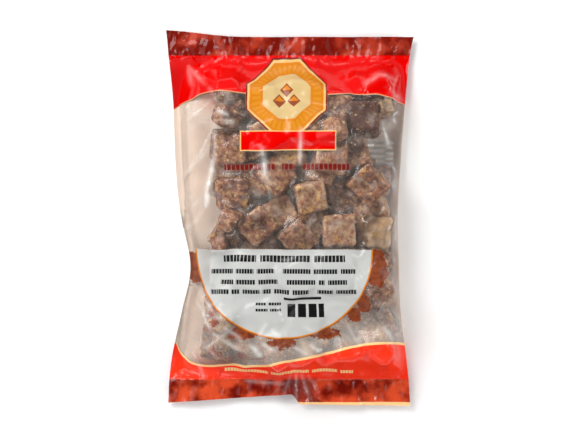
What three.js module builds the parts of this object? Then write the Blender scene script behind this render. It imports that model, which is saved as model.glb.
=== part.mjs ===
// A sealed clear bag of jaggery cubes, lying on its back with the printed front up.
// The bag is one pillow-shaped solid: its film is stretched over the cubes inside and welded flat at both ends.
// Millimetres, +Z up, +Y towards the top seal. The origin is on the table, under the middle of the bag.
import * as THREE from "three";
import { mergeVertices } from "three/addons/utils/BufferGeometryUtils.js";

// The bag's plan. Each row of EDGES is a station along the bag: y, then x of the left and of the right edge.
// The flat film is 160 wide, and the bag is narrower where the cubes fill it.
const FLAT_HALF = 80;
const EDGES = [
  [120, -79.66, 80],
  [104, -77.6, 76.6],
  [75, -74.9, 73.6],
  [36, -73.4, 70.6],
  [4, -70.4, 68.8],
  [-31, -63.8, 69.4],
  [-60, -69.4, 70.6],
  [-90, -75.8, 74.4],
  [-120, -78.6, 77.6],
];
const TOP_CUT = { y: 115.9, cornerRise: 4.1, cornerFrom: -30, cornerTo: -80 };
const BOTTOM_CUT = { leftY: -118.2, midY: -112.6, rightY: -118.9, endY: -120, stepFrom: 1, stepTo: 7 };
const TOP_SEAL_Y = 104;
const BOTTOM_SEAL_Y = -103;
const SEAL_FADE = 30;

// Film and seals
const SEAL_THICKNESS = 0.8;
const TOP_SEAL_HEIGHT = 6;
const BOTTOM_SEAL_HEIGHT = 5;
const SEAL_WAVE = { height: 1.1, length: 46 };
const LEFT_RIM_HEIGHT = 3.2;
const RIGHT_RIM_HEIGHT = 8;
const LEAST_GAP = 1.4;
const FILM_CLEARANCE = 0.4;
const FILM_SAG = 0.015;

// Beside the cubes the film is slack. Each margin starts and ends this far from the middle.
const MARGIN_SAG = 0.5;
const LEFT_MARGIN = { from: 44, to: 54, share: 1 };
const RIGHT_MARGIN = { from: 60, to: 68, share: 0.5 };

// The gathered pleat that runs from the cubes into the bottom seal, and the small pleats along both seals
const PLEAT = { x: 1.5, width: 5.5, height: 4.2, topY: -82, bottomY: -113, fade: 12 };
const SEAL_PLEATS = { height: 1.3, count: 9, reach: 24 };

// Cubes
const CUBE_SIDE = 20.5;
const CUBE_HEIGHT = 18;
const LEAST_STEP_UP = 13.5;
const LOWER_CUBE_Z = 9.8;
const LOWER_ROWS = 7;
const LOWER_COLUMNS = 5;
const LOWER_PITCH = { x: 23.6, y: 24.6 };
const LOWER_MIDDLE = { x: 5.5, y: -2 };
const LOWER_JITTER = 1.4;
const LOWER_TURN = 16;

// The cubes that show, as they lie in the bag: centre x, y, z, turn about the vertical, lean, and the way they lean.
const SEEN_CUBES = [
  [49.5, 21, 28, 45, 7, 200],
  [-20.5, -5, 30, 40, 6, 30],
  [45.5, 62, 25, 4, 18, 85],
  [-36.5, 43, 25.5, 2, 8, 180],
  [-35.5, 16, 26, 4, 7, 200],
  [-37.5, 70, 11, 2, 9, 110],
  [-38, -10, 19.5, -35, 42, 50],
  [-9, 26, 27, 47, 11, 80],
  [13, 13, 30, 12, 4, 0],
  [26, 37, 28.5, -8, 9, 120],
  [5, -12.5, 28, 38, 8, 300],
  [30.5, -8, 29.5, 3, 5, 70],
  [53, -9, 22, -4, 14, 10],
  [9, 57, 28, -15, 7, 100],
  [-14, 52, 27.5, 20, 6, 160],
  [54, -46, 17.5, 10, 22, 340],
  [-43, -58, 13, 6, 16, 200],
  [-24, -34, 28.5, -12, 6, 190],
  [3, -38, 29.5, 25, 5, 20],
  [28, -35, 29, -6, 4, 300],
  [-16, -60, 25.5, 18, 10, 240],
  [10, -63, 25, -20, 11, 270],
  [33, -60, 24, 9, 12, 300],
];

// The cubes below the top layer that show in its gaps, in the same form
const DEEP_CUBES = [
  [0, 41, 24, 8, 6, 90],
  [-6, 3, 22.5, 30, 8, 120],
  [29, 68, 21, -9, 8, 100],
  [33, 14, 20, 20, 12, 40],
  [51, 4, 18.5, 12, 10, 190],
  [-16, -21, 21, 12, 6, 200],
  [-22, 25, 20, -6, 8, 200],
  [21, 30, 20.5, -20, 10, 100],
  [-24, 45, 20, 10, 8, 150],
  [16, -3, 21, 28, 8, 60],
  [40, 40, 19.5, 14, 12, 100],
  [-34, 30, 18, 12, 10, 170],
  [-46, -79, 10, -7, 9, 230],
  [-22, -82, 9.5, 14, 8, 260],
  [10, -82, 9.5, -18, 8, 280],
  [36, -73, 13, 6, 12, 290],
  [55, -66, 10, 24, 10, 300],
  [-18, 72, 21, 8, 5, 100],
  [8, 76, 20, -12, 6, 90],
];

// No hidden cube or broken piece lies here, so the back of the bag shows.
const BACK_WINDOW = { x: 56, y: 40, reach: 13 };

// Broken pieces fill the gaps in two layers, the largest first. LAYERS gives the highest support of each layer,
// STEP how much higher the cubes round a piece may stand, and STAND a piece's height as a share of its width.
const BROKEN_SEED = 5;
const BROKEN_TRIES = 8000;
const BROKEN_SIZES = [14, 11, 8.5, 6];
const BROKEN_EACH_SIZE = 8;
const BROKEN_HEAP = { x: [-45, 60], y: [-84, 86] };
const BROKEN_LAYERS = [21, 26];
const BROKEN_STEP = 6;
const BROKEN_SUNK = 0.6;
const BROKEN_STAND = 1.15;
const BROKEN_RING = { share: 0.42, points: 8 };

// Mesh
const COLUMNS = 46;
const BODY_ROWS = 62;
const SEAL_ROWS = 2;
const RELAX_STEPS = 260;
const OVER_RELAX = 1.85;
const SMOOTH_STEPS = 2;
const SMOOTH_SHARE = 0.6;
const ABOVE_ALL = 1000;

// The rings of the underside: share of the width they step in by, rows they step in by, and share of the way down.
const UNDER_RINGS = [
  { inset: 0.012, rows: 1, drop: 0 },
  { inset: 0.024, rows: 2, drop: 0 },
  { inset: 0.045, rows: 3, drop: 0.35 },
  { inset: 0.085, rows: 5, drop: 0.8 },
  { inset: 0.13, rows: 7, drop: 1 },
];

const { clamp, lerp, smoothstep, degToRad } = THREE.MathUtils;

// The edge's x at y, on a smooth curve through the stations.
function edgeAt(column, y) {
  const last = EDGES.length - 1;
  let i = 0;
  while (i < last - 1 && y < EDGES[i + 1][0]) i += 1;
  const slope = (k) => {
    const [a, b] = [Math.max(k - 1, 0), Math.min(k + 1, last)];
    return (EDGES[b][column] - EDGES[a][column]) / (EDGES[b][0] - EDGES[a][0]);
  };
  const [y0, y1] = [EDGES[i][0], EDGES[i + 1][0]];
  const run = y1 - y0;
  const t = clamp((y - y0) / run, 0, 1);
  const [t2, t3] = [t * t, t * t * t];
  return (
    (2 * t3 - 3 * t2 + 1) * EDGES[i][column] +
    (t3 - 2 * t2 + t) * run * slope(i) +
    (3 * t2 - 2 * t3) * EDGES[i + 1][column] +
    (t3 - t2) * run * slope(i + 1)
  );
}

const topCutY = (x) => TOP_CUT.y + TOP_CUT.cornerRise * (1 - smoothstep(x, TOP_CUT.cornerTo, TOP_CUT.cornerFrom));

// The bottom cut slants up on the left, and steps down to a longer flap on the right.
function bottomCutY(x) {
  const left = lerp(BOTTOM_CUT.leftY, BOTTOM_CUT.midY, clamp((x + FLAT_HALF) / FLAT_HALF, 0, 1));
  const right = lerp(BOTTOM_CUT.rightY, BOTTOM_CUT.endY, clamp(x / FLAT_HALF, 0, 1));
  return lerp(left, right, smoothstep(x, BOTTOM_CUT.stepFrom, BOTTOM_CUT.stepTo));
}

// Rows of the grid run from the bottom cut to the top cut, with a row on each seal's inner line.
const ROWS = BODY_ROWS + 2 * SEAL_ROWS;
function rowY(row, x) {
  if (row < SEAL_ROWS) return lerp(bottomCutY(x), BOTTOM_SEAL_Y, row / SEAL_ROWS);
  if (row > ROWS - SEAL_ROWS) return lerp(topCutY(x), TOP_SEAL_Y, (ROWS - row) / SEAL_ROWS);
  return lerp(BOTTOM_SEAL_Y, TOP_SEAL_Y, (row - SEAL_ROWS) / BODY_ROWS);
}

function planPoint(u, row) {
  const nominal = rowY(row, 0);
  const x = lerp(edgeAt(1, nominal), edgeAt(2, nominal), u);
  return new THREE.Vector2(x, rowY(row, x));
}

// Height of the middle of the film's edge: low at the slack left flap, half-way up at the full right side.
function rimHeight(u, row) {
  const side = lerp(LEFT_RIM_HEIGHT, RIGHT_RIM_HEIGHT, smoothstep(u, 0, 1));
  const { x, y } = planPoint(u, row);
  const wave = SEAL_WAVE.height * Math.sin((2 * Math.PI * x) / SEAL_WAVE.length);
  const top = smoothstep(y, TOP_SEAL_Y - SEAL_FADE, TOP_SEAL_Y);
  const bottom = 1 - smoothstep(y, BOTTOM_SEAL_Y, BOTTOM_SEAL_Y + SEAL_FADE);
  return lerp(lerp(side, TOP_SEAL_HEIGHT + wave, top), BOTTOM_SEAL_HEIGHT - wave, bottom);
}

// A seeded draw for the hidden layer, from 0 to 1.
function randomDraw(seed) {
  let state = seed;
  return () => {
    state = (state * 1664525 + 1013904223) % 4294967296;
    return state / 4294967296;
  };
}

// Places a cube. It leans by turning its up axis towards a compass direction in the plan.
function cubePose([x, y, z, turn, lean, towards]) {
  const way = degToRad(towards);
  const axis = new THREE.Vector3(-Math.sin(way), Math.cos(way), 0);
  const leaning = new THREE.Matrix4().makeRotationAxis(axis, degToRad(lean));
  const turning = new THREE.Matrix4().makeRotationZ(degToRad(turn));
  return new THREE.Matrix4().makeTranslation(x, y, z).multiply(leaning).multiply(turning);
}

const inWindow = (x, y) => Math.hypot(x - BACK_WINDOW.x, y - BACK_WINDOW.y) < BACK_WINDOW.reach;

// The hidden lower layer is a loose grid. It leaves out the cubes that a seen cube lies too deep to pass over.
function lowerCubes() {
  const draw = randomDraw(7);
  const placed = [];
  for (let row = 0; row < LOWER_ROWS; row += 1) {
    for (let column = 0; column < LOWER_COLUMNS; column += 1) {
      const [dx, dy, turn] = [draw() * 2 - 1, draw() * 2 - 1, draw() * 2 - 1];
      const x = LOWER_MIDDLE.x + (column - (LOWER_COLUMNS - 1) / 2) * LOWER_PITCH.x + dx * LOWER_JITTER;
      const y = LOWER_MIDDLE.y + (row - (LOWER_ROWS - 1) / 2) * LOWER_PITCH.y + dy * LOWER_JITTER;
      const blocked = SEEN_CUBES.some(
        ([sx, sy, sz]) => sz < LOWER_CUBE_Z + LEAST_STEP_UP && Math.hypot(sx - x, sy - y) < CUBE_SIDE,
      );
      if (!blocked && !inWindow(x, y)) placed.push([x, y, LOWER_CUBE_Z, turn * LOWER_TURN, 0, 0]);
    }
  }
  return placed;
}

// Height of the highest cube under a point of the plan, or 0 where there is none.
function cubeTops() {
  const half = new THREE.Vector3(CUBE_SIDE, CUBE_SIDE, CUBE_HEIGHT).multiplyScalar(0.5);
  const box = new THREE.Box3(half.clone().negate(), half);
  const cubes = [...lowerCubes(), ...DEEP_CUBES, ...SEEN_CUBES].map((place) => {
    const pose = cubePose(place);
    return { pose, inverse: pose.clone().invert(), x: place[0], y: place[1] };
  });
  const ray = new THREE.Ray();
  const hit = new THREE.Vector3();
  return (x, y) => {
    let top = 0;
    for (const { pose, inverse, x: cx, y: cy } of cubes) {
      if (Math.hypot(x - cx, y - cy) > CUBE_SIDE) continue;
      ray.origin.set(x, y, ABOVE_ALL);
      ray.direction.set(0, 0, -1);
      ray.applyMatrix4(inverse);
      if (ray.intersectBox(box, hit)) top = Math.max(top, hit.applyMatrix4(pose).z);
    }
    return top;
  };
}

// Height of the top of a broken piece, which is an egg on its support, or 0 beside it.
function pieceTop(piece, x, y) {
  const outward = Math.hypot(x - piece.x, y - piece.y) / (piece.size / 2);
  if (outward >= 1) return 0;
  const half = (BROKEN_STAND * piece.size) / 2;
  return piece.base - BROKEN_SUNK + half * (1 + Math.sqrt(1 - outward * outward));
}

const highestOf = (tops, x, y) => tops.reduce((most, topAt) => Math.max(most, topAt(x, y)), 0);

// The pieces of one layer, on supports no higher than highest and clear of each other.
function brokenLayer(draw, tops, highest) {
  const layer = [];
  for (let attempt = 0; attempt < BROKEN_TRIES; attempt += 1) {
    const x = lerp(BROKEN_HEAP.x[0], BROKEN_HEAP.x[1], draw());
    const y = lerp(BROKEN_HEAP.y[0], BROKEN_HEAP.y[1], draw());
    const size = BROKEN_SIZES[Math.min(BROKEN_SIZES.length - 1, Math.floor(layer.length / BROKEN_EACH_SIZE))];
    const crowded = layer.some((other) => Math.hypot(x - other.x, y - other.y) <= (size + other.size) / 2);
    if (crowded || inWindow(x, y)) continue;
    const base = highestOf(tops, x, y);
    if (base > highest) continue;
    const hemmedIn = Array.from({ length: BROKEN_RING.points }, (_, k) => {
      const angle = (2 * Math.PI * k) / BROKEN_RING.points;
      const reach = BROKEN_RING.share * size;
      return highestOf(tops, x + reach * Math.cos(angle), y + reach * Math.sin(angle)) > base + BROKEN_STEP;
    }).some(Boolean);
    if (!hemmedIn) layer.push({ x, y, base, size });
  }
  return layer;
}

// Height of whatever lies highest under a point of the plan: a cube or a broken piece.
function contentsTops() {
  const draw = randomDraw(BROKEN_SEED);
  const tops = [cubeTops()];
  for (const highest of BROKEN_LAYERS) {
    const layer = brokenLayer(draw, tops, highest);
    tops.push(...layer.map((piece) => (x, y) => pieceTop(piece, x, y)));
  }
  return (x, y) => highestOf(tops, x, y);
}

// Small pleats fan out of both seals and fade towards the cubes, and one large pleat runs into the bottom seal.
function pleatHeight(x, y) {
  const fromTop = (TOP_SEAL_Y - y) / SEAL_PLEATS.reach;
  const fromBottom = (y - BOTTOM_SEAL_Y) / SEAL_PLEATS.reach;
  const fade = (d) => (d > 0 && d < 1 ? Math.sin(Math.PI * d) : 0);
  const phase = (SEAL_PLEATS.count * 2 * Math.PI * x) / (2 * FLAT_HALF);
  const small = SEAL_PLEATS.height * (fade(fromTop) * Math.cos(phase + 0.6) + fade(fromBottom) * Math.cos(phase));
  const below = smoothstep(y, PLEAT.bottomY, PLEAT.bottomY + PLEAT.fade);
  const above = 1 - smoothstep(y, PLEAT.topY - PLEAT.fade / 2, PLEAT.topY + PLEAT.fade / 2);
  return small + PLEAT.height * below * above * Math.exp(-(((x - PLEAT.x) / PLEAT.width) ** 2));
}

// How far the film hangs below its neighbours, for each step of the grid.
function sagAt(x) {
  const slack = (margin, away) => margin.share * smoothstep(away, margin.from, margin.to);
  return FILM_SAG + MARGIN_SAG * (slack(LEFT_MARGIN, -x) + slack(RIGHT_MARGIN, x));
}

// The upper film: a membrane held at the rim that rests on the contents and sags a little between them.
function upperFilm() {
  const topAt = contentsTops();
  const grid = [];
  for (let row = 0; row <= ROWS; row += 1) {
    for (let column = 0; column <= COLUMNS; column += 1) {
      const u = column / COLUMNS;
      const p = planPoint(u, row);
      const rim = rimHeight(u, row) + SEAL_THICKNESS / 2;
      const inSeal = row <= SEAL_ROWS || row >= ROWS - SEAL_ROWS;
      const held = inSeal || column === 0 || column === COLUMNS;
      const under = topAt(p.x, p.y);
      const floor = Math.max(rim + (held ? 0 : LEAST_GAP), under > 0 ? under + FILM_CLEARANCE : 0);
      grid.push({ x: p.x, y: p.y, z: held ? rim : floor, floor, held, sag: sagAt(p.x) });
    }
  }
  const wide = COLUMNS + 1;
  const mean = (i) => (grid[i - 1].z + grid[i + 1].z + grid[i - wide].z + grid[i + wide].z) / 4;
  const free = grid.flatMap((g, i) => (g.held ? [] : [i]));
  for (let step = 0; step < RELAX_STEPS; step += 1) {
    for (const i of free) {
      grid[i].z = Math.max(grid[i].floor, lerp(grid[i].z, mean(i) - grid[i].sag, OVER_RELAX));
    }
  }
  for (let step = 0; step < SMOOTH_STEPS; step += 1) {
    const smoothed = free.map((i) => lerp(grid[i].z, mean(i), SMOOTH_SHARE));
    free.forEach((i, k) => (grid[i].z = smoothed[k]));
  }
  return grid.map((g) => new THREE.Vector3(g.x, g.y, g.z + pleatHeight(g.x, g.y)));
}

// Indices of a rectangle's rim in the grid, anticlockwise from its lower left corner.
function rimIndices() {
  const at = (column, row) => row * (COLUMNS + 1) + column;
  const rim = [];
  for (let c = 0; c < COLUMNS; c += 1) rim.push(at(c, 0));
  for (let r = 0; r < ROWS; r += 1) rim.push(at(COLUMNS, r));
  for (let c = COLUMNS; c > 0; c -= 1) rim.push(at(c, ROWS));
  for (let r = ROWS; r > 0; r -= 1) rim.push(at(0, r));
  return rim;
}

// Rings of the underside. The first lies under the rim, the next ones step in under the seals and the sides,
// and the last lies on the table as one flat patch.
function lowerRings(points, rim) {
  const first = rim.map((i) => points[i].clone().setZ(points[i].z - SEAL_THICKNESS));
  const others = UNDER_RINGS.map(({ inset, rows, drop }) =>
    rim.map((i) => {
      const column = i % (COLUMNS + 1);
      const row = Math.floor(i / (COLUMNS + 1));
      const u = lerp(column / COLUMNS, 0.5, inset * 2);
      const inRow = lerp(rows, ROWS - rows, row / ROWS);
      const p = planPoint(u, inRow);
      const z = (rimHeight(u, inRow) - SEAL_THICKNESS / 2) * (1 - drop);
      return new THREE.Vector3(p.x, p.y, z);
    }),
  );
  return [first, ...others];
}

function bagGeometry() {
  const points = upperFilm();
  const rim = rimIndices();
  const rings = lowerRings(points, rim);
  const faces = [];
  const quad = (a, b, c, d) => faces.push(a, b, c, a, c, d);
  for (let row = 0; row < ROWS; row += 1) {
    for (let column = 0; column < COLUMNS; column += 1) {
      const a = row * (COLUMNS + 1) + column;
      quad(a, a + 1, a + COLUMNS + 2, a + COLUMNS + 1);
    }
  }
  let outer = rim;
  for (const ring of rings) {
    const start = points.length;
    points.push(...ring);
    const inner = ring.map((_, k) => start + k);
    outer.forEach((a, k) => {
      const next = (k + 1) % rim.length;
      quad(a, inner[k], inner[next], outer[next]);
    });
    outer = inner;
  }
  // The flat patch is a fan round the middle of the bag.
  const middle = points.length;
  points.push(new THREE.Vector3(0, 0, 0));
  outer.forEach((a, k) => faces.push(a, middle, outer[(k + 1) % rim.length]));
  const geometry = new THREE.BufferGeometry();
  const flat = points.flatMap((p) => p.toArray());
  geometry.setAttribute("position", new THREE.Float32BufferAttribute(flat, 3));
  geometry.setIndex(faces);
  const merged = mergeVertices(geometry, 1e-4);
  merged.computeVertexNormals();
  return merged;
}

const group = new THREE.Group();
const bag = new THREE.Mesh(
  bagGeometry(),
  new THREE.MeshStandardMaterial({ color: 0x9a7a62, roughness: 0.3, metalness: 0 }),
);
bag.name = "bag";
group.add(bag);

export default group;
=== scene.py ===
"""A sealed bag of jaggery cubes: clear printed film over loose cubes, lying on its back.

Shapes are worked out in millimetres in the part's frame and turned into metres where a mesh is made.
+Y runs towards the top seal, +X to the right as the front is read, and +Z out of the printed front.
"""

import math

import bmesh
import bpy
import numpy as np
from mathutils import Matrix, Vector, noise
from mathutils.bvhtree import BVHTree


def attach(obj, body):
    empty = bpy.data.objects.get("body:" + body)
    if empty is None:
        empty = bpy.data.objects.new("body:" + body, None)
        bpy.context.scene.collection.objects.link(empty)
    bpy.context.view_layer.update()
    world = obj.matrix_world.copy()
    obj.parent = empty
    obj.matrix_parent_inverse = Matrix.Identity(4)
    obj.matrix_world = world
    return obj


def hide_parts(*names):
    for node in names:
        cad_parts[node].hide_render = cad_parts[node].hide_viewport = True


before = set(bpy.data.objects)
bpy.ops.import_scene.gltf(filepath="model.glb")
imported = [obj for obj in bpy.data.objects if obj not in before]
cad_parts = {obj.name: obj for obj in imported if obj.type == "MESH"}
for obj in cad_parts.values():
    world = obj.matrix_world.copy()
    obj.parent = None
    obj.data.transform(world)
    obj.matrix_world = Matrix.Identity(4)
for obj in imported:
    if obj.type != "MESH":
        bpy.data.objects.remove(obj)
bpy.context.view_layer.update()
MM = 0.001

# Plan of the bag: y of each station along it, then x of the left and of the right edge
EDGES = np.array([
    [120, -79.66, 80],
    [104, -77.6, 76.6],
    [75, -74.9, 73.6],
    [36, -73.4, 70.6],
    [4, -70.4, 68.8],
    [-31, -63.8, 69.4],
    [-60, -69.4, 70.6],
    [-90, -75.8, 74.4],
    [-120, -78.6, 77.6],
])
FLAT_HALF = 80
TOP_CUT_Y = 115.9
TOP_CORNER_RISE = 4.1
TOP_CORNER_X = (-80, -30)
BOTTOM_CUT_LEFT = (-118.2, -112.6)
BOTTOM_CUT_RIGHT = (-118.9, -120)
BOTTOM_STEP_X = (1, 7)
TOP_SEAL_Y = 104
BOTTOM_SEAL_Y = -103
SEAL_FADE = 30
LEFT_RIM_HEIGHT = 3.2
RIGHT_RIM_HEIGHT = 8
TOP_SEAL_HEIGHT = 6
BOTTOM_SEAL_HEIGHT = 5
SEAL_WAVE_HEIGHT = 1.1
SEAL_WAVE_LENGTH = 46
# The crushed seals: height and size of their creases and of the finer crinkles between them
CREASE_HEIGHT = 0.9
CREASE_SIZE = 9
CRINKLE_HEIGHT = 0.8
CRINKLE_SIZE = 5

# Cubes: a loose lower layer, and the cubes that show, by centre x, y, z, turn, lean and the way they lean
CUBE_SIDE = 20.5
CUBE_HEIGHT = 18
LOWER_CUBE_Z = 9.8
LOWER_ROWS = 7
LOWER_COLUMNS = 5
LOWER_PITCH = (23.6, 24.6)
LOWER_MIDDLE = (5.5, -2)
LOWER_JITTER = 1.4
LOWER_TURN = 16
LEAST_STEP_UP = 13.5
SEEN_CUBES = [
    (49.5, 21, 28, 45, 7, 200),
    (-20.5, -5, 30, 40, 6, 30),
    (45.5, 62, 25, 4, 18, 85),
    (-36.5, 43, 25.5, 2, 8, 180),
    (-35.5, 16, 26, 4, 7, 200),
    (-37.5, 70, 11, 2, 9, 110),
    (-38, -10, 19.5, -35, 42, 50),
    (-9, 26, 27, 47, 11, 80),
    (13, 13, 30, 12, 4, 0),
    (26, 37, 28.5, -8, 9, 120),
    (5, -12.5, 28, 38, 8, 300),
    (30.5, -8, 29.5, 3, 5, 70),
    (53, -9, 22, -4, 14, 10),
    (9, 57, 28, -15, 7, 100),
    (-14, 52, 27.5, 20, 6, 160),
    (54, -46, 17.5, 10, 22, 340),
    (-43, -58, 13, 6, 16, 200),
    (-24, -34, 28.5, -12, 6, 190),
    (3, -38, 29.5, 25, 5, 20),
    (28, -35, 29, -6, 4, 300),
    (-16, -60, 25.5, 18, 10, 240),
    (10, -63, 25, -20, 11, 270),
    (33, -60, 24, 9, 12, 300),
]
# Tone of each seen cube, from 0, dark and reddish, to 1, greyish and pale, and how far its top is sunk
SEEN_TONES = [
    0.34, 0.36, -0.40, 0.42, 0.20, 0.55, 0.30, 0.50, 0.72, 0.48, 0.48, 0.72,
    # The 1.40 of the cube at (53, -9), past the pale end, is partly painted light: it lightens a cube that
    # sits deep, in shade.
    1.40, 0.50, 0.55, 0.55, 0.60, 0.50, 0.60, 0.60, 0.50, 0.55, 0.60,
]
SEEN_DIMPLES = [
    1.6, 3.4, 0.8, 0, 0, 1.0, 0, 0, 1.2, 0, 0, 0, 0, 1.2, 0, 1.2, 0, 0, 0, 0, 0, 0, 0,
]
# More cubes, deeper between the seen ones, with their tones
DEEP_CUBES = [
    ((0, 41, 24, 8, 6, 90), 0.85),
    ((-6, 3, 22.5, 30, 8, 120), 0.70),
    ((29, 68, 21, -9, 8, 100), 0.20),
    ((33, 14, 20, 20, 12, 40), 0.25),
    ((51, 4, 18.5, 12, 10, 190), 0.75),
    ((-16, -21, 21, 12, 6, 200), 0.60),
    ((-22, 25, 20, -6, 8, 200), 0.45),
    ((21, 30, 20.5, -20, 10, 100), 0.50),
    ((-24, 45, 20, 10, 8, 150), 0.50),
    ((16, -3, 21, 28, 8, 60), 0.55),
    ((40, 40, 19.5, 14, 12, 100), 0.35),
    ((-34, 30, 18, 12, 10, 170), 0.40),
    ((-46, -79, 10, -7, 9, 230), 0.35),
    ((-22, -82, 9.5, 14, 8, 260), 0.55),
    ((10, -82, 9.5, -18, 8, 280), 0.60),
    ((36, -73, 13, 6, 12, 290), 0.50),
    ((55, -66, 10, 24, 10, 300), 0.50),
    ((-18, 72, 21, 8, 5, 100), 0.50),
    ((8, 76, 20, -12, 6, 90), 0.35),
]
# Through this window between the cubes the print on the back film shows.
BACK_WINDOW = {"x": 56, "y": 40, "reach": 13}

# Film sheet: its grid, and how far it stays off the contents and off the other film
COLUMNS = 160
BODY_ROWS = 208
BOTTOM_SEAL_ROWS = 10
TOP_SEAL_ROWS = 12
FILM_GAP = 0.8
SEAL_GAP = 0.12
BACK_GAP = 0.3
# How far in from the sides, as a share of the width, and from the seals, the back film has come down
LEFT_BACK_INSET = 0.06
RIGHT_BACK_INSET = 0.07
SEAL_BACK_INSET = 0.1
BACK_WRINKLE = 0.5
BACK_WRINKLE_SIZE = 8
BACK_REST = 0.15
# Nothing inside the bag lies lower than this, and this stands for a place with nothing over it
LEAST_HEIGHT = 0.55
NOTHING_BELOW = 30
# The grid of heights of the contents
HEIGHT_CELL = 0.8
HALF_LENGTH = 120
GRID_SPARE = 2.0
# How much the sheet hangs through from one point to the next, and more in the empty margins
SAG = 0.002
MARGIN_SAG = 0.045
LEFT_MARGIN = (44, 54)
RIGHT_MARGIN = (60, 68)
RIGHT_MARGIN_SHARE = 0.5
DRAPE_STEPS = 900
# The film drops from its rim to this share of it, over this share of the width
RIM_DROP = 0.5
RIM_DROP_WIDTH = 0.16
LEAST_FILM_HEIGHT = 0.8
# Spare length that lets the film buckle: everywhere, near the seals and at the slack left flap
SPARE = 0.002
END_SPARE = 0.016
END_SPARE_Y = (60, 96)
LEFT_SPARE = 0.002
LEFT_SPARE_X = (42, 60)
SPARE_VARIES = 0.6
SPARE_PATCH = 24
# Each pass over the sheet: how much coarser than the film it is, and its steps
SHEET_PASSES = ((2, 260), (1, 160))
# An uneven start lets it buckle. From step to step it keeps this share of its speed, and falls this much.
START_NOISE = 0.5
START_NOISE_SIZE = 6
KEPT_SPEED = 0.86
FALL = 0.004
# The film is painted milkier where it stands off the contents, a painted veil of light that lightens the
# shaded gaps below: from and up to these distances
VEIL_FROM = (1.2, 9)


def smoothstep(value, low, high):
    """0 below low, 1 above high, with a smooth rise between."""
    t = np.clip((value - low) / (high - low), 0, 1)
    return t * t * (3 - 2 * t)


def lerp(a, b, t):
    return a + (b - a) * t


# Plan of the bag

def edge_x(column, y):
    """x of the left (1) or right (2) edge at y, on a smooth curve through the stations."""
    stations = EDGES[::-1]
    ys = stations[:, 0]
    xs = stations[:, column]
    slopes = np.gradient(xs, ys)
    slopes[1:-1] = (xs[2:] - xs[:-2]) / (ys[2:] - ys[:-2])
    y = np.clip(y, ys[0], ys[-1])
    i = np.clip(np.searchsorted(ys, y, side="right") - 1, 0, len(ys) - 2)
    run = ys[i + 1] - ys[i]
    t = (y - ys[i]) / run
    rise = (2 * t**3 - 3 * t**2 + 1) * xs[i] + (3 * t**2 - 2 * t**3) * xs[i + 1]
    lean = (t**3 - 2 * t**2 + t) * slopes[i] + (t**3 - t**2) * slopes[i + 1]
    return rise + run * lean


def top_cut_y(x):
    return TOP_CUT_Y + TOP_CORNER_RISE * (1 - smoothstep(x, *TOP_CORNER_X))


def bottom_cut_y(x):
    """The bottom cut slants up on the left, and steps down to a longer flap on the right."""
    left = lerp(*BOTTOM_CUT_LEFT, np.clip((x + FLAT_HALF) / FLAT_HALF, 0, 1))
    right = lerp(*BOTTOM_CUT_RIGHT, np.clip(x / FLAT_HALF, 0, 1))
    return lerp(left, right, smoothstep(x, *BOTTOM_STEP_X))


def row_y(row, x, rows):
    """y of a grid row at x. rows holds the rows of the bottom seal, the body and the top seal."""
    bottom, body, top = rows
    in_bottom = lerp(bottom_cut_y(x), BOTTOM_SEAL_Y, row / bottom)
    in_top = lerp(TOP_SEAL_Y, top_cut_y(x), (row - bottom - body) / top)
    in_body = lerp(BOTTOM_SEAL_Y, TOP_SEAL_Y, (row - bottom) / body)
    return np.where(row < bottom, in_bottom, np.where(row > bottom + body, in_top, in_body))


def plan_grid(columns, rows):
    """x and y of every point of the sheet's grid, and its place across the sheet from 0 to 1."""
    row = np.arange(sum(rows) + 1.0)[:, None]
    u = np.linspace(0, 1, columns + 1)[None, :]
    nominal = row_y(row, np.zeros_like(row), rows)
    x = lerp(edge_x(1, nominal), edge_x(2, nominal), u)
    return x, row_y(row + 0 * u, x, rows), u + 0 * row


def rim_height(x, y, u):
    """Height of the film's edge: low at the slack left flap, higher at the full right side."""
    side = lerp(LEFT_RIM_HEIGHT, RIGHT_RIM_HEIGHT, smoothstep(u, 0, 1))
    wave = SEAL_WAVE_HEIGHT * np.sin(2 * math.pi * x / SEAL_WAVE_LENGTH)
    top = smoothstep(y, TOP_SEAL_Y - SEAL_FADE, TOP_SEAL_Y)
    bottom = 1 - smoothstep(y, BOTTOM_SEAL_Y, BOTTOM_SEAL_Y + SEAL_FADE)
    return lerp(lerp(side, TOP_SEAL_HEIGHT + wave, top), BOTTOM_SEAL_HEIGHT - wave, bottom)


# Meshes

def make_mesh(name, points_mm, faces, smooth=True):
    mesh = bpy.data.meshes.new(name)
    mesh.from_pydata((np.asarray(points_mm) * MM).tolist(), [], faces)
    mesh.update()
    mesh.polygons.foreach_set("use_smooth", [smooth] * len(mesh.polygons))
    piece = bpy.data.objects.new(name, mesh)
    bpy.context.scene.collection.objects.link(piece)
    return piece


def add_values(piece, name, values):
    """Stores a number for each point, which the material reads by name."""
    stored = piece.data.attributes.new(name, "FLOAT", "POINT")
    stored.data.foreach_set("value", np.asarray(values, np.float32))


def lattice(cuts):
    """Points from -1 to 1 on the surface of a cube, and its faces."""
    bm = bmesh.new()
    bmesh.ops.create_cube(bm, size=2)
    bmesh.ops.subdivide_edges(bm, edges=bm.edges[:], cuts=cuts, use_grid_fill=True)
    points = np.array([v.co[:] for v in bm.verts])
    faces = [[v.index for v in f.verts] for f in bm.faces]
    bm.free()
    return points, faces


def fractal(points, size, seed, octaves=3):
    """Smooth noise from about -1 to 1 at each point, with lumps of the given size."""
    shift = Vector((seed * 17.3, seed * -9.1, seed * 5.7))
    return np.array([
        noise.fractal(Vector(p) / size + shift, 1.0, 2.0, octaves) for p in points.tolist()
    ])


# Jaggery

def seeded_draw(seed):
    """Draws from 0 to 1."""
    state = seed
    while True:
        state = (state * 1664525 + 1013904223) % 4294967296
        yield state / 4294967296


def in_window(x, y):
    return math.hypot(x - BACK_WINDOW["x"], y - BACK_WINDOW["y"]) < BACK_WINDOW["reach"]


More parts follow.
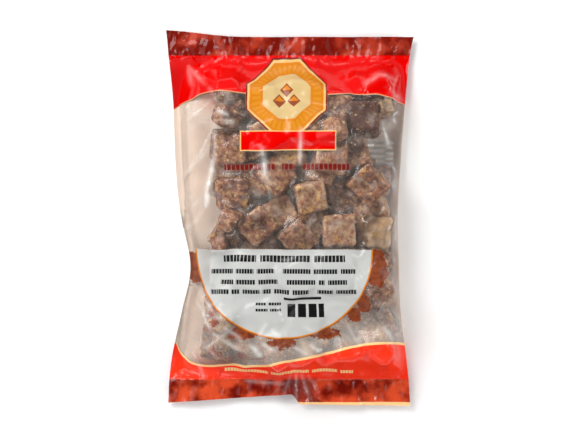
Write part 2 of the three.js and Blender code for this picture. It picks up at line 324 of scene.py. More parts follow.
def lower_cubes():
    """Places of the hidden lower layer, without those that a deep seen cube takes."""
    draw = seeded_draw(7)
    placed = []
    for row in range(LOWER_ROWS):
        for column in range(LOWER_COLUMNS):
            dx, dy, turn = (next(draw) * 2 - 1 for _ in range(3))
            x = LOWER_MIDDLE[0] + (column - (LOWER_COLUMNS - 1) / 2) * LOWER_PITCH[0] + dx * LOWER_JITTER
            y = LOWER_MIDDLE[1] + (row - (LOWER_ROWS - 1) / 2) * LOWER_PITCH[1] + dy * LOWER_JITTER
            blocked = any(
                sz < LOWER_CUBE_Z + LEAST_STEP_UP and math.hypot(sx - x, sy - y) < CUBE_SIDE
                for sx, sy, sz, *_ in SEEN_CUBES
            )
            if not blocked and not in_window(x, y):
                placed.append((x, y, LOWER_CUBE_Z, turn * LOWER_TURN, 0, 0))
    return placed


def cube_pose(place):
    x, y, z, turn, lean, towards = place
    way = math.radians(towards)
    axis = Vector((-math.sin(way), math.cos(way), 0))
    leaning = Matrix.Rotation(math.radians(lean), 4, axis)
    turning = Matrix.Rotation(math.radians(turn), 4, "Z")
    return np.array(Matrix.Translation((x, y, z)) @ leaning @ turning)


# A lump's top sinks above this height and inside this radius, both as shares of its half size
DIMPLE_UP = (0.6, 1.0)
DIMPLE_ACROSS = (0.15, 0.75)
# Worn surface: size of its waves, grains and chips, how strong each is, and where chips begin
WAVE_SIZE = 9.0
GRAIN_SIZE = 2.6
CHIP_SIZE = 6.0
WAVE_SHARE = 0.7
GRAIN_SHARE = 0.42
CHIP_SHARE = 1.3
CHIP_FROM = (0.35, 0.7)


def lump_shape(unit, half, rounding, taper, seed, relief=1.0, dimple=0.0):
    """A moulded lump: a rounded block, narrower towards the top, with worn faces and a sunk top."""
    core = np.clip(unit, rounding - 1, 1 - rounding)
    out = unit - core
    direction = out / np.maximum(np.linalg.norm(out, axis=1, keepdims=True), 1e-9)
    shape = (core + rounding * direction) * half
    shape[:, :2] *= 1 - taper * unit[:, 2:3]
    radius = np.hypot(unit[:, 0], unit[:, 1])
    shape[:, 2] -= dimple * smoothstep(unit[:, 2], *DIMPLE_UP) * (1 - smoothstep(radius, *DIMPLE_ACROSS))
    waves = fractal(shape, WAVE_SIZE, seed)
    grains = fractal(shape, GRAIN_SIZE, seed + 0.5, 4)
    chips = smoothstep(fractal(shape, CHIP_SIZE, seed + 0.3), *CHIP_FROM)
    push = relief * (WAVE_SHARE * waves + GRAIN_SHARE * grains - CHIP_SHARE * chips)
    return shape + direction * push[:, None]


# Yellow spots of raw sugar: middle and reach in the plan, and the share of the reach that is fully yellow
YELLOW_SPOTS = [
    (12, 4, 6), (19, 14, 5), (4, 18, 5), (53, -8, 5.5), (58, -3, 4), (30, -13, 4), (-30, 44, 6),
    (2, 37, 7), (-26, 9, 5), (-14, 18, 5), (28, 46, 5), (-34, 70, 7), (46, 30, 4), (7, -18, 4),
    (-47, -12, 5), (60, -50, 6),
]
SPOT_CORE = 0.25


def spotted(points):
    """How strongly the sugar has set yellow at each point, from 0 to 1."""
    strength = np.zeros(len(points))
    for x, y, reach in YELLOW_SPOTS:
        away = np.hypot(points[:, 0] - x, points[:, 1] - y) / reach
        strength = np.maximum(strength, 1 - smoothstep(away, SPOT_CORE, 1))
    return strength


# How the cubes differ: size, rounding, taper and, for the hidden ones, tone
CUBE_STRETCH = (0.93, 1.03)
CUBE_ROUNDING = (0.18, 0.32)
CUBE_TAPER = (0.02, 0.08)
CUBE_RELIEF = 1.2
DEEP_DIMPLE = 0.8
HIDDEN_TONES = (0.2, 0.8)
FINE_CUTS = 17
PLAIN_CUTS = 8


def jaggery_cubes():
    rng = np.random.default_rng(11)
    points, faces, tones = [], [], []
    fine_unit, fine_faces = lattice(FINE_CUTS)
    plain_unit, plain_faces = lattice(PLAIN_CUTS)
    seen = [(place, fine_unit, fine_faces) for place in SEEN_CUBES]
    hidden = [(place, plain_unit, plain_faces) for place in lower_cubes()]
    deep = [(place, fine_unit, fine_faces) for place, _ in DEEP_CUBES]
    given_tones = SEEN_TONES + [tone for _, tone in DEEP_CUBES]
    for number, (place, unit, unit_faces) in enumerate(seen + deep + hidden):
        half = np.array([CUBE_SIDE, CUBE_SIDE, CUBE_HEIGHT]) / 2 * rng.uniform(*CUBE_STRETCH, 3)
        dimple = SEEN_DIMPLES[number] if number < len(SEEN_CUBES) else DEEP_DIMPLE
        rounding = rng.uniform(*CUBE_ROUNDING)
        shape = lump_shape(unit, half, rounding, rng.uniform(*CUBE_TAPER), number, CUBE_RELIEF, dimple)
        pose = cube_pose(place)
        start = sum(len(p) for p in points)
        placed = shape @ pose[:3, :3].T + pose[:3, 3]
        placed[:, 2] = np.maximum(placed[:, 2], LEAST_HEIGHT)
        points.append(placed)
        faces += [[start + i for i in face] for face in unit_faces]
        tone = given_tones[number] if number < len(given_tones) else rng.uniform(*HIDDEN_TONES)
        tones.append(np.full(len(shape), tone))
    cubes = make_mesh("jaggery_cubes", np.vstack(points), faces)
    add_values(cubes, "tone", np.concatenate(tones))
    add_values(cubes, "spotted", spotted(np.vstack(points)))
    print("cubes:", len(seen) + len(deep) + len(hidden))
    return cubes


def tree_of(piece):
    """A tree for rays against a piece, in millimetres."""
    points = [v.co / MM for v in piece.data.vertices]
    return BVHTree.FromPolygons(points, [p.vertices[:] for p in piece.data.polygons])


def top_of(tree, x, y, empty=0.0):
    hit = tree.ray_cast(Vector((x, y, 500)), Vector((0, 0, -1)))[0]
    return empty if hit is None else hit.z


def sunk_of(tree, x, y):
    """Minus the height of the lowest point over a place."""
    hit = tree.ray_cast(Vector((x, y, -500)), Vector((0, 0, 1)))[0]
    return -NOTHING_BELOW if hit is None else -hit.z


# Broken pieces: the places tried, the sizes, largest first, and how many of each size a layer begins with
BROKEN_SEED = 5
BROKEN_TRIES = 8000
BROKEN_SIZES = (14, 11, 8.5, 6)
BROKEN_EACH_SIZE = 8
# Where they may lie, in x and in y, and how high the support may be in each layer
BROKEN_HEAP = ((-45, 60), (-84, 86))
BROKEN_LAYERS = (21, 26)
# The ring that is looked at round a place, as a share of the size and a number of points, and how much
# higher than the support it may stand
BROKEN_RING = (0.42, 8)
BROKEN_STEP = 6
# How far a piece sinks into its support, how much of its size stands up, and how far it stays off the edge
BROKEN_SUNK = 0.6
BROKEN_STAND = 1.15
BROKEN_EDGE_GAP = 5
# How they differ: size, rounding, taper, relief and tone
BROKEN_STRETCH = (0.8, 1.1)
BROKEN_SHAPE = (0.35, 0.12)
BROKEN_RELIEF = 0.9
BROKEN_NOISE_SEED = 90
BROKEN_TONES = (0.25, 0.95)
ABOVE_ALL = 1000


def box_tops(places):
    """A function for the height of the highest cube at a point of the plan, each taken as a plain box."""
    inverse = np.linalg.inv([cube_pose(place) for place in places])
    half = np.array([CUBE_SIDE, CUBE_SIDE, CUBE_HEIGHT]) / 2
    down = -inverse[:, :3, 2]

    def top(x, y):
        start = inverse[:, :3, :3] @ (x, y, ABOVE_ALL) + inverse[:, :3, 3]
        with np.errstate(divide="ignore", invalid="ignore"):
            sides = np.stack([(-half - start) / down, (half - start) / down])
        enter = sides.min(axis=0).max(axis=1)
        leave = sides.max(axis=0).min(axis=1)
        hit = enter <= leave
        return ABOVE_ALL - enter[hit].min() if hit.any() else 0.0

    return top


def piece_top(piece):
    """A function for the height of a broken piece, taken as an egg on its support, or 0 beside it."""
    px, py, base, size = piece

    def top(x, y):
        outward = math.hypot(x - px, y - py) / (size / 2)
        if outward >= 1:
            return 0.0
        return base - BROKEN_SUNK + BROKEN_STAND * size / 2 * (1 + math.sqrt(1 - outward * outward))

    return top


def broken_layer(draw, tops, highest):
    """Where one layer's pieces lie: on supports no higher than highest, and clear of each other."""
    layer = []
    share, count = BROKEN_RING
    angles = [math.tau * k / count for k in range(count)]
    for _ in range(BROKEN_TRIES):
        x = lerp(*BROKEN_HEAP[0], next(draw))
        y = lerp(*BROKEN_HEAP[1], next(draw))
        size = BROKEN_SIZES[min(len(BROKEN_SIZES) - 1, len(layer) // BROKEN_EACH_SIZE)]
        crowded = any(math.hypot(x - ox, y - oy) <= (size + other) / 2 for ox, oy, _, other in layer)
        if crowded or in_window(x, y):
            continue
        base = max(top(x, y) for top in tops)
        if base > highest:
            continue
        reach = share * size
        ring = [(x + reach * math.cos(angle), y + reach * math.sin(angle)) for angle in angles]
        if all(top(*point) <= base + BROKEN_STEP for point in ring for top in tops):
            layer.append((x, y, base, size))
    return layer


def jaggery_bits(cube_tree):
    """Broken pieces that fill the gaps between the cubes, in layers."""
    rng = np.random.default_rng(5)
    unit, unit_faces = lattice(PLAIN_CUTS)
    points, faces, tones = [], [], []
    trees = [cube_tree]
    draw = seeded_draw(BROKEN_SEED)
    tops = [box_tops(lower_cubes() + [place for place, _ in DEEP_CUBES] + SEEN_CUBES)]
    for highest in BROKEN_LAYERS:
        layer = broken_layer(draw, tops, highest)
        for x, y, _, size in layer:
            half = size / 2 * rng.uniform(*BROKEN_STRETCH, 3)
            shape = lump_shape(unit, half, *BROKEN_SHAPE, BROKEN_NOISE_SEED + len(points), BROKEN_RELIEF)
            turn = Matrix.Rotation(rng.uniform(0, math.tau), 3, rng.normal(size=3).tolist())
            shape = shape @ np.array(turn).T
            base = max(top_of(tree, x, y) for tree in trees)
            x -= max(0, x + shape[:, 0].max() + BROKEN_EDGE_GAP - float(edge_x(2, np.array(y))))
            z = max(base - BROKEN_SUNK, LEAST_HEIGHT) - shape[:, 2].min()
            start = sum(len(p) for p in points)
            points.append(shape + [x, y, z])
            faces += [[start + i for i in face] for face in unit_faces]
            tones.append(np.full(len(shape), rng.uniform(*BROKEN_TONES)))
        heap = [Vector(p) for p in np.vstack(points)]
        trees = [cube_tree, BVHTree.FromPolygons(heap, faces)]
        tops += [piece_top(piece) for piece in layer]
    bits = make_mesh("jaggery_bits", np.vstack(points), faces)
    add_values(bits, "tone", np.concatenate(tones))
    print("broken pieces:", len(points))
    return bits


CRUMB_COUNT = 1500
CRUMB_SIZES = (0.35, 1.5)
CRUMB_STRETCH = (0.6, 1.25)
# Most crumbs lie anywhere along the bag, and the rest have slid towards its bottom end
CRUMBS_ANYWHERE = 0.7
CRUMB_ALONG = (-96, 92)
CRUMB_BOTTOM = (-98, -60)
CRUMB_ACROSS = (0.2, 0.92)
# A crumb is no larger than this, and this share of the room under the film more
CRUMB_UNDER_FILM = 0.3
CRUMB_ROOM_SHARE = 0.25
CRUMB_LEAST_HEIGHT = 0.3
# How far a crumb's middle stands over what it lies on, as a share of its size
CRUMB_STAND = 0.25


def sugar_crumbs(trees, contents):
    """Loose sugar grains and crumbs on the cubes, in the gaps and in the bottom of the bag."""
    rng = np.random.default_rng(23)
    bm = bmesh.new()
    bmesh.ops.create_icosphere(bm, subdivisions=1, radius=1)
    unit = np.array([v.co[:] for v in bm.verts])
    unit_faces = np.array([[v.index for v in f.verts] for f in bm.faces])
    bm.free()
    points, faces, tones = [], [], []
    while len(points) < CRUMB_COUNT:
        y = rng.uniform(*CRUMB_ALONG) if rng.random() < CRUMBS_ANYWHERE else rng.uniform(*CRUMB_BOTTOM)
        u = rng.uniform(*CRUMB_ACROSS)
        x = lerp(edge_x(1, np.array(y)), edge_x(2, np.array(y)), u)
        size = rng.uniform(*CRUMB_SIZES) ** 1.5 / CRUMB_SIZES[1] ** 0.5
        back = float(back_height(x, y, u))
        z = max(max(top_of(tree, x, y) for tree in trees), back + (1 + CRUMB_STAND) * size)
        size = min(size, CRUMB_UNDER_FILM + CRUMB_ROOM_SHARE * max(0, float(contents.at(x, y)) - z))
        shape = unit * rng.uniform(*CRUMB_STRETCH, unit.shape) * size
        faces.append(unit_faces + len(points) * len(unit))
        placed = shape + [x, y, z + CRUMB_STAND * size]
        placed[:, 2] = np.maximum(placed[:, 2], max(CRUMB_LEAST_HEIGHT, back + BACK_GAP))
        points.append(placed)
        tones.append(np.full(len(unit), rng.uniform(0, 1)))
    crumbs = make_mesh("sugar_crumbs", np.vstack(points), np.vstack(faces).tolist(), smooth=False)
    add_values(crumbs, "tone", np.concatenate(tones))
    return crumbs


# Film

def widest(grid):
    """Each row's highest value among a cell and its two neighbours, so that no corner is missed."""
    out = grid.copy()
    out[:, 1:] = np.maximum(out[:, 1:], grid[:, :-1])
    out[:, :-1] = np.maximum(out[:, :-1], grid[:, 1:])
    return out


def mean_round(grid):
    """The mean of the four neighbours of every inner point of a grid."""
    return (grid[1:-1, :-2] + grid[1:-1, 2:] + grid[:-2, 1:-1] + grid[2:, 1:-1]) / 4


def softened(grid, passes):
    out = grid.copy()
    for _ in range(passes):
        out[1:-1, 1:-1] = mean_round(out)
    return out


class HeightMap:
    """What the measure gives for the contents on a square grid: by default the height of their top."""

    def __init__(self, trees, measure=top_of):
        reach = np.array([FLAT_HALF, HALF_LENGTH]) + GRID_SPARE
        self.low = -reach
        self.count = (2 * reach / HEIGHT_CELL).astype(int) + 2
        xs = self.low[0] + np.arange(self.count[0]) * HEIGHT_CELL
        ys = self.low[1] + np.arange(self.count[1]) * HEIGHT_CELL
        tops = np.array([[max(measure(tree, x, y) for tree in trees) for x in xs] for y in ys])
        wide = widest(widest(widest(widest(tops)).T).T)
        self.z = np.maximum(widest(widest(tops).T).T, softened(wide, 3))

    def at(self, x, y):
        column = np.clip((np.asarray(x) - self.low[0]) / HEIGHT_CELL, 0, self.count[0] - 1.001)
        row = np.clip((np.asarray(y) - self.low[1]) / HEIGHT_CELL, 0, self.count[1] - 1.001)
        i = row.astype(int)
        j = column.astype(int)
        s = row - i
        t = column - j
        low = lerp(self.z[i, j], self.z[i, j + 1], t)
        high = lerp(self.z[i + 1, j], self.z[i + 1, j + 1], t)
        return lerp(low, high, s)


# Broad folds of the slack film: start and end in the plan, height and half width
FOLDS = [
    ((-69, 104), (-48, 82), 3.6, 3.5),
    ((-47, 84), (-60, 62), 3.0, 3.0),
    ((56, 78), (62, 50), 2.6, 2.0),
    ((62, 50), (66, 24), 1.8, 2.0),
    ((-58, -90), (-34, -64), 1.8, 2.2),
    ((60, -64), (70, -86), 2.2, 2.0),
    ((44, 96), (72, 84), 2.4, 3.0),
    ((36, 88), (60, 72), 2.2, 3.0),
    ((20, 100), (40, 88), 1.6, 2.4),
    ((-34, 98), (-18, 88), 1.6, 2.2),
]
# Sharp creases, pressed in last: the same, and how strong the painted highlight along the crease is
CREASES = [
    ((-46.5, 62), (-46.8, 34), 0.9, 1.0, 0.35),
    ((-47, 41), (-54.5, 6), 1.6, 1.6, 1.0),
    ((-51, 20), (-54, 6), 0.8, 2.0, 0.7),
    ((-67, 29), (-49, 46), 0.5, 1.4, 0.3),
    ((-65, 54), (-49, 66), 0.4, 1.6, 0.15),
    ((-64, 6), (-54, 15), 0.4, 1.4, 0.2),
    ((-71, 22), (-58, 38), 0.3, 0.8, 0.35),
    ((-60, 35), (-48, 58), 0.4, 0.8, 0.45),
    ((-66, 62), (-48, 76), 0.4, 0.8, 0.35),
    ((-66, 72), (-60, 66), 0.3, 1.2, 0.35),
    ((-69, -10), (-56, 2), 0.3, 0.9, 0.2),
    ((-17.5, 46), (-14.5, 22), 0.7, 1.7, 0.62),
    ((-14.5, 24), (-12, 10), 0.4, 1.0, 0.3),
    ((7.2, 58), (6, 33), 0.7, 1.1, 0.6),
    ((58, 62), (65, 45), 0.9, 1.1, 0.6),
    ((70, 68), (65, 65), 0.7, 1.0, 0.7),
    ((65, 65), (69, 60), 0.7, 1.0, 0.7),
    ((68, 4), (66, -9), 0.5, 0.8, 0.6),
    ((66, -7), (69, -21), 0.5, 0.8, 0.6),
    ((65, 34), (68, 28), 0.5, 0.8, 0.4),
    ((-46, 68), (-38, 64), 0.6, 1.3, 0.6),
    ((-44, 62), (-34, 60), 0.6, 1.3, 0.5),
    ((-58, -46), (-44, -64), 0.6, 1.1, 0.5),
    ((-60, -52), (-48, -72), 0.5, 0.9, 0.45),
    ((-56, -60), (-42, -64), 0.6, 0.9, 0.5),
    ((-58, -86), (-34, -68), 0.8, 1.0, 0.5),
    ((-52, -70), (-30, -84), 0.8, 1.0, 0.5),
    ((-42, -68), (-28, -78), 0.7, 0.9, 0.6),
    ((-56, -78), (-44, -90), 0.6, 1.0, 0.35),
    ((-26, -79), (-17, -88), 0.8, 1.4, 0.7),
    ((-18, -79), (-8, -85), 0.7, 1.0, 0.5),
    ((0, -80), (12, -87), 0.7, 1.1, 0.45),
    ((12, -80), (20, -85), 0.6, 1.1, 0.6),
    ((34, -64), (44, -82), 0.5, 1.2, 0.25),
    ((58, -68), (66, -78), 0.7, 1.1, 0.5),
    ((-20, -75), (-14, -66), 0.5, 1.2, 0.5),
    ((-12, -70), (-6, -75), 0.5, 1.4, 0.5),
    ((8, -68), (18, -74), 0.4, 1.2, 0.25),
    ((-66, 98), (-52, 84), 0.7, 1.2, 0.2),
    ((-65, 98), (-62, 84), 0.7, 1.4, 0.15),
    ((-52, 84), (-45, 72), 0.5, 1.2, 0.2),
    ((50, 92), (70, 88), 0.6, 1.4, 0.2),
    ((46, 84), (58, 92), 0.6, 1.4, 0.2),
    ((62, 82), (74, 74), 0.6, 1.4, 0.2),
    ((-30, -104), (0, -106), 0.5, 0.9, 0.35),
    ((-62, -84), (-54, -104), 0.6, 1.0, 0.25),
    ((1, -99), (-5, -116), 0.4, 0.9, 0.28),
    ((4, -98), (4, -118), 0.4, 0.8, 0.34),
    ((7, -99), (13, -117), 0.4, 0.9, 0.3),
    ((11, -100), (19, -112), 0.4, 0.8, 0.24),
]
# The gathered pleat that runs into the bottom seal
PLEAT_LINES = [
    ((-2, -90), (-8, -120), 3.4, 3.0),
    ((2, -90), (3, -124), 4.4, 2.2),
    ((5, -90), (10, -125), 4.0, 2.2),
    ((8, -90), (20, -124), 3.4, 2.6),
]
RIDGE_FADE = 0.6
RIDGE_SHARPNESS = 1.5
# The painted highlight along a crease varies in small patches
WHITE_MEAN = 0.75
WHITE_VARIES = 0.45
WHITE_PATCH = 5


def ridge(x, y, start, end, height, width):
    """A ridge along a line, highest in its middle and fading at its ends."""
    ax, ay = start
    dx, dy = end[0] - ax, end[1] - ay
    length = math.hypot(dx, dy)
    along = ((x - ax) * dx + (y - ay) * dy) / length**2
    across = ((x - ax) * dy - (y - ay) * dx) / length
    fade = np.sin(math.pi * np.clip(along, 0, 1)) ** RIDGE_FADE
    return height * fade * np.exp(-np.abs(across / width) ** RIDGE_SHARPNESS)


def crease_glint(x, y):
    """Strength of the painted highlight along the film's sharp creases, from 0 to 1."""
    white = np.zeros_like(x)
    for start, end, _, width, glint_strength in CREASES:
        white = np.maximum(white, ridge(x, y, start, end, glint_strength, width))
    return white * (WHITE_MEAN + WHITE_VARIES * grid_noise(x, y, WHITE_PATCH, 61))


def grid_noise(x, y, size, seed, octaves=2):
    flat = np.column_stack([x.ravel(), y.ravel(), np.zeros(x.size)])
    return fractal(flat, size, seed, octaves).reshape(x.shape)


def drape(rim, floor, held, sag, steps):
    """The sheet spans the contents: a free point rests on them, or hangs a little below its neighbours."""
    z = np.where(held, rim, floor)
    for _ in range(steps):
        mean = mean_round(z) - sag[1:-1, 1:-1]
        z[1:-1, 1:-1] = np.where(held[1:-1, 1:-1], rim[1:-1, 1:-1], np.maximum(floor[1:-1, 1:-1], mean))
    return z


def pair_slices(shape, step):
    """Slices that pair each grid point with the one a step away, in sets whose pairs share no point."""
    down, across = step
    rows, columns = shape
    left, right = (slice(0, columns - across), slice(across, columns))
    if across < 0:
        left, right = (slice(-across, columns), slice(0, columns + across))
    reach = down or across
    for phase in range(2 * reach):
        if down:
            yield (slice(phase, rows - down, 2 * down), left), (slice(phase + down, rows, 2 * down), right)
        else:
            first = slice(phase, columns - across, 2 * across)
            yield (slice(None), first), (slice(None), slice(phase + across, columns, 2 * across))


# Pairs of points that the film's links join, by rows and columns apart, and how stiff each link is
STEPS_AND_STIFFNESS = [
    ((0, 1), 1.0), ((1, 0), 1.0), ((1, 1), 0.5), ((1, -1), 0.5), ((0, 2), 0.09), ((2, 0), 0.09),
    ((0, 4), 0.03), ((4, 0), 0.03),
]


def settle(points, rest_shape, slack, held, contents, steps):
    """Lets a sheet that is a little too long for its shape buckle into folds over the contents."""
    weight = np.where(held, 0.0, 1.0)[..., None]
    links = []
    for step, stiffness in STEPS_AND_STIFFNESS:
        for a, b in pair_slices(points.shape[:2], step):
            rest = np.linalg.norm(rest_shape[b] - rest_shape[a], axis=-1, keepdims=True)
            rest *= 1 + (slack[a] + slack[b])[..., None] / 2
            share = stiffness / np.maximum(weight[a] + weight[b], 1e-6)
            links.append((a, b, rest, weight[a] * share, weight[b] * share))
    before = points.copy()
    for _ in range(steps):
        moved = points + KEPT_SPEED * (points - before)
        moved[..., 2] -= FALL * weight[..., 0]
        before = points
        points = moved
        for a, b, rest, share_a, share_b in links:
            gap = points[b] - points[a]
            length = np.sqrt(np.einsum("rci,rci->rc", gap, gap))[..., None]
            gap *= 1 - rest / length
            points[a] += share_a * gap
            points[b] -= share_b * gap
        floor = contents.at(points[..., 0], points[..., 1]) + FILM_GAP
        points[..., 2] = np.where(held, points[..., 2], np.maximum(points[..., 2], floor))
    return points


def finer(grid):
    """The same sheet with a new point between each two."""
    rows, columns = grid.shape[:2]
    wide = np.empty((rows, 2 * columns - 1, *grid.shape[2:]))
    wide[:, ::2] = grid
    wide[:, 1::2] = (grid[:, 1:] + grid[:, :-1]) / 2
    full = np.empty((2 * rows - 1, *wide.shape[1:]))
    full[::2] = wide
    full[1::2] = (wide[1:] + wide[:-1]) / 2
    return full


def smooth_sheet(points, held):
    """Moves each free point halfway to the mean of its neighbours."""
    free = (~held[1:-1, 1:-1])[..., None]
    points[1:-1, 1:-1] += np.where(free, 0.5 * (mean_round(points) - points[1:-1, 1:-1]), 0)
    return points


def draped_sheet(x, y, u, in_seal, held, contents, coarse):
    """The sheet as it spans rim, contents and margins, with its broad folds, before it settles."""
    rim = rim_height(x, y, u)
    pleats = sum(ridge(x, y, *line) for line in PLEAT_LINES)
    rim = np.where(in_seal, rim + seal_crinkle(x, y) + pleats, rim)
    drop = smoothstep(np.minimum(u, 1 - u), 0, RIM_DROP_WIDTH)
    floor = np.maximum(contents.at(x, y) + FILM_GAP, LEAST_FILM_HEIGHT)
    floor = np.maximum(floor, np.where(held, 0, rim * lerp(1, RIM_DROP, drop)))
    margin = smoothstep(-x, *LEFT_MARGIN) + RIGHT_MARGIN_SHARE * smoothstep(x, *RIGHT_MARGIN)
    sag = (SAG + MARGIN_SAG * margin) * coarse**2
    z = drape(rim, floor, held, sag, DRAPE_STEPS // coarse)
    folds = sum(ridge(x, y, *fold) for fold in FOLDS)
    return np.dstack([x, y, z + np.where(held, 0, folds + pleats)])


def spare_length(x, y):
    spare = SPARE + END_SPARE * smoothstep(np.abs(y), *END_SPARE_Y)
    spare = spare + LEFT_SPARE * smoothstep(-x, *LEFT_SPARE_X)
    return spare * (1 + SPARE_VARIES * grid_noise(x, y, SPARE_PATCH, 3))


def front_sheet(contents):
    """The front film: a coarse sheet is draped and settled first, then a fine one."""
    points = None
    for coarse, steps in SHEET_PASSES:
        rows = (BOTTOM_SEAL_ROWS // coarse, BODY_ROWS // coarse, TOP_SEAL_ROWS // coarse)
        x, y, u = plan_grid(COLUMNS // coarse, rows)
        row = np.arange(sum(rows) + 1)[:, None] + 0 * u
        in_seal = (row <= rows[0]) | (row >= rows[0] + rows[1])
        held = in_seal | (u == 0) | (u == 1)
        base = draped_sheet(x, y, u, in_seal, held, contents, coarse)
        if points is None:
            uneven = np.where(held, 0, START_NOISE * grid_noise(x, y, START_NOISE_SIZE, 8))
            points = base + np.dstack([0 * x, 0 * x, uneven])
        else:
            points = np.where(held[..., None], base, finer(points))
        points = settle(points, base, spare_length(x, y), held, contents, steps)
    points = smooth_sheet(points, held)
    floor = contents.at(points[..., 0], points[..., 1]) + FILM_GAP / 2
    creases = sum(ridge(x, y, *crease[:4]) for crease in CREASES)
    points[..., 2] = np.where(held, points[..., 2], np.maximum(points[..., 2], floor) + creases)
    return points, x, y, u


def seal_crinkle(x, y):
    """Small crushed creases of the welded ends, longer along the bag than across it."""
    creases = 1 - 2 * np.abs(grid_noise(x, y * 0.6, CREASE_SIZE, 31, 3))
    return CREASE_HEIGHT * creases + CRINKLE_HEIGHT * grid_noise(x, y * 0.7, CRINKLE_SIZE, 37)


def back_lift(from_side, from_seal, u):
    """How far the back film has risen to the rim: 0 where it lies flat and 1 at the sides and the seals."""
    side = 1 - smoothstep(from_side / lerp(LEFT_BACK_INSET, RIGHT_BACK_INSET, u), 0, 1)
    seal = 1 - smoothstep(from_seal, 0, SEAL_BACK_INSET)
    return np.clip(np.maximum(side, seal), 0, 1)


def back_height(x, y, u):
    """Height of the back film at a place between the seals, before the contents press it down."""
    from_seal = np.minimum(y - BOTTOM_SEAL_Y, TOP_SEAL_Y - y) / (TOP_SEAL_Y - BOTTOM_SEAL_Y)
    return lerp(BACK_REST, rim_height(x, y, u), back_lift(np.minimum(u, 1 - u), from_seal, u))


def back_sheet(front, x, y, u, sunk):
    """The back film: it leaves the rim, comes down under the sides and lies flat under the cubes."""
    row = np.arange(front.shape[0])[:, None] + 0 * u
    last = front.shape[0] - 1
    end = np.minimum(row - BOTTOM_SEAL_ROWS, last - TOP_SEAL_ROWS - row) / BODY_ROWS
    lift = back_lift(np.minimum(u, 1 - u), end, u)
    wrinkle = BACK_WRINKLE * lift * (1 - lift) * np.abs(grid_noise(x, y, BACK_WRINKLE_SIZE, 51))
    z = lerp(BACK_REST, rim_height(x, y, u), lift) + wrinkle
    z = np.minimum(z, np.maximum(-sunk.at(x, y) - BACK_GAP, BACK_REST))
    in_seal = (end <= 0)
    z = np.where(in_seal, front[..., 2] - SEAL_GAP, np.minimum(z, front[..., 2] - SEAL_GAP))
    back = np.dstack([front[..., 0], front[..., 1], z])
    inside = (end > 0)[..., None]
    plan = np.dstack([x, y, z])
    return np.where(inside, plan, back)


def film(contents, sunk):
    """The whole bag: front and back film, joined all round."""
    front, x, y, u = front_sheet(contents)
    back = back_sheet(front, x, y, u, sunk)
    rows, columns = x.shape
    at = np.arange(rows * columns).reshape(rows, columns)
    on_rim = np.zeros((rows, columns), bool)
    on_rim[[0, -1], :] = True
    on_rim[:, [0, -1]] = True
    below = np.where(on_rim, at, 0)
    below[~on_rim] = rows * columns + np.arange((~on_rim).sum())
    points = np.vstack([front.reshape(-1, 3), back[~on_rim]])
    plan = np.column_stack([x.ravel(), y.ravel()])
    plan = np.vstack([plan, plan[~on_rim.ravel()]])

    def quads(index, flip):
        corners = [index[:-1, :-1], index[:-1, 1:], index[1:, 1:], index[1:, :-1]]
        return np.stack(corners[::-1] if flip else corners, axis=-1).reshape(-1, 4)

    faces = np.vstack([quads(at, False), quads(below, True)])
    piece = make_mesh("film", points, faces.tolist())
    rim_points = set(at[on_rim].tolist())
    piece.data.edges.foreach_set("use_edge_sharp", [set(e.vertices) <= rim_points for e in piece.data.edges])
    # Painted highlight strength along the creases, on the front film; none on the back film
    white = np.concatenate([crease_glint(x, y).ravel(), np.zeros((~on_rim).sum())])
    add_values(piece, "crease_glint", white)
    # Painted veil: the film turns milkier where it stands off the contents, over the shaded gaps
    stand_off = front[..., 2] - contents.at(front[..., 0], front[..., 1])
    veil = smoothstep(stand_off, *VEIL_FROM)
    add_values(piece, "veil", np.concatenate([veil.ravel(), np.zeros((~on_rim).sum())]))
    half = len(faces) // 2
    piece.data.polygons.foreach_set("material_index", [0] * half + [1] * half)
    uv = piece.data.uv_layers.new(name="film_plan")
    loops = np.zeros(len(piece.data.loops), int)
    piece.data.loops.foreach_get("vertex_index", loops)
    uv.data.foreach_set("uv", (plan[loops] * MM).ravel())
    return piece


# Materials

class Field:
    """A number at every point of a surface, worked out by math nodes."""

    def __init__(self, tree, source):
        self.tree = tree
        self.source = source

    def math(self, operation, *others, clamp=False):
        node = self.tree.nodes.new("ShaderNodeMath")
        node.operation = operation
        node.use_clamp = clamp
        for socket, value in zip(node.inputs, (self, *others)):
            feed(self.tree, value, socket)
        return Field(self.tree, node.outputs[0])

    def __add__(self, other):
        return self.math("ADD", other)

    def __sub__(self, other):
        return self.math("SUBTRACT", other)

    def __mul__(self, other):
        return self.math("MULTIPLY", other)

    def __truediv__(self, other):
        return self.math("DIVIDE", other)

    def abs(self):
        return self.math("ABSOLUTE")

    def min(self, other):
        return self.math("MINIMUM", other)

    def max(self, other):
        return self.math("MAXIMUM", other)

    def flip(self):
        """1 where this is 0, and 0 where it is 1."""
        return self * -1 + 1

    def inside(self, soft=0.25):
        """1 where this distance is positive and 0 where it isn't, with an edge this soft."""
        return (self / soft).math("ADD", 0.5, clamp=True)

    def ramp(self, low, high):
        node = self.tree.nodes.new("ShaderNodeMapRange")
        node.interpolation_type = "SMOOTHSTEP"
        feed(self.tree, self, node.inputs["Value"])
        node.inputs["From Min"].default_value = low
        node.inputs["From Max"].default_value = high
        return Field(self.tree, node.outputs["Result"])


def feed(tree, value, socket):
    """Links a field or a socket into a socket, or sets a plain value there."""
    if isinstance(value, Field):
        tree.links.new(value.source, socket)
    elif isinstance(value, bpy.types.NodeSocket):
        tree.links.new(value, socket)
    else:
        socket.default_value = value


def new_material(name):
    material = bpy.data.materials.new(name)
    material.use_nodes = True
    tree = material.node_tree
    tree.nodes.clear()
    output = tree.nodes.new("ShaderNodeOutputMaterial")
    return material, tree, output


def node(tree, kind, **inputs):
    """A new node with its inputs fed. Names use _ for a space."""
    made = tree.nodes.new(kind)
    for name, value in inputs.items():
        feed(tree, value, made.inputs[name.replace("_", " ")])
    return made


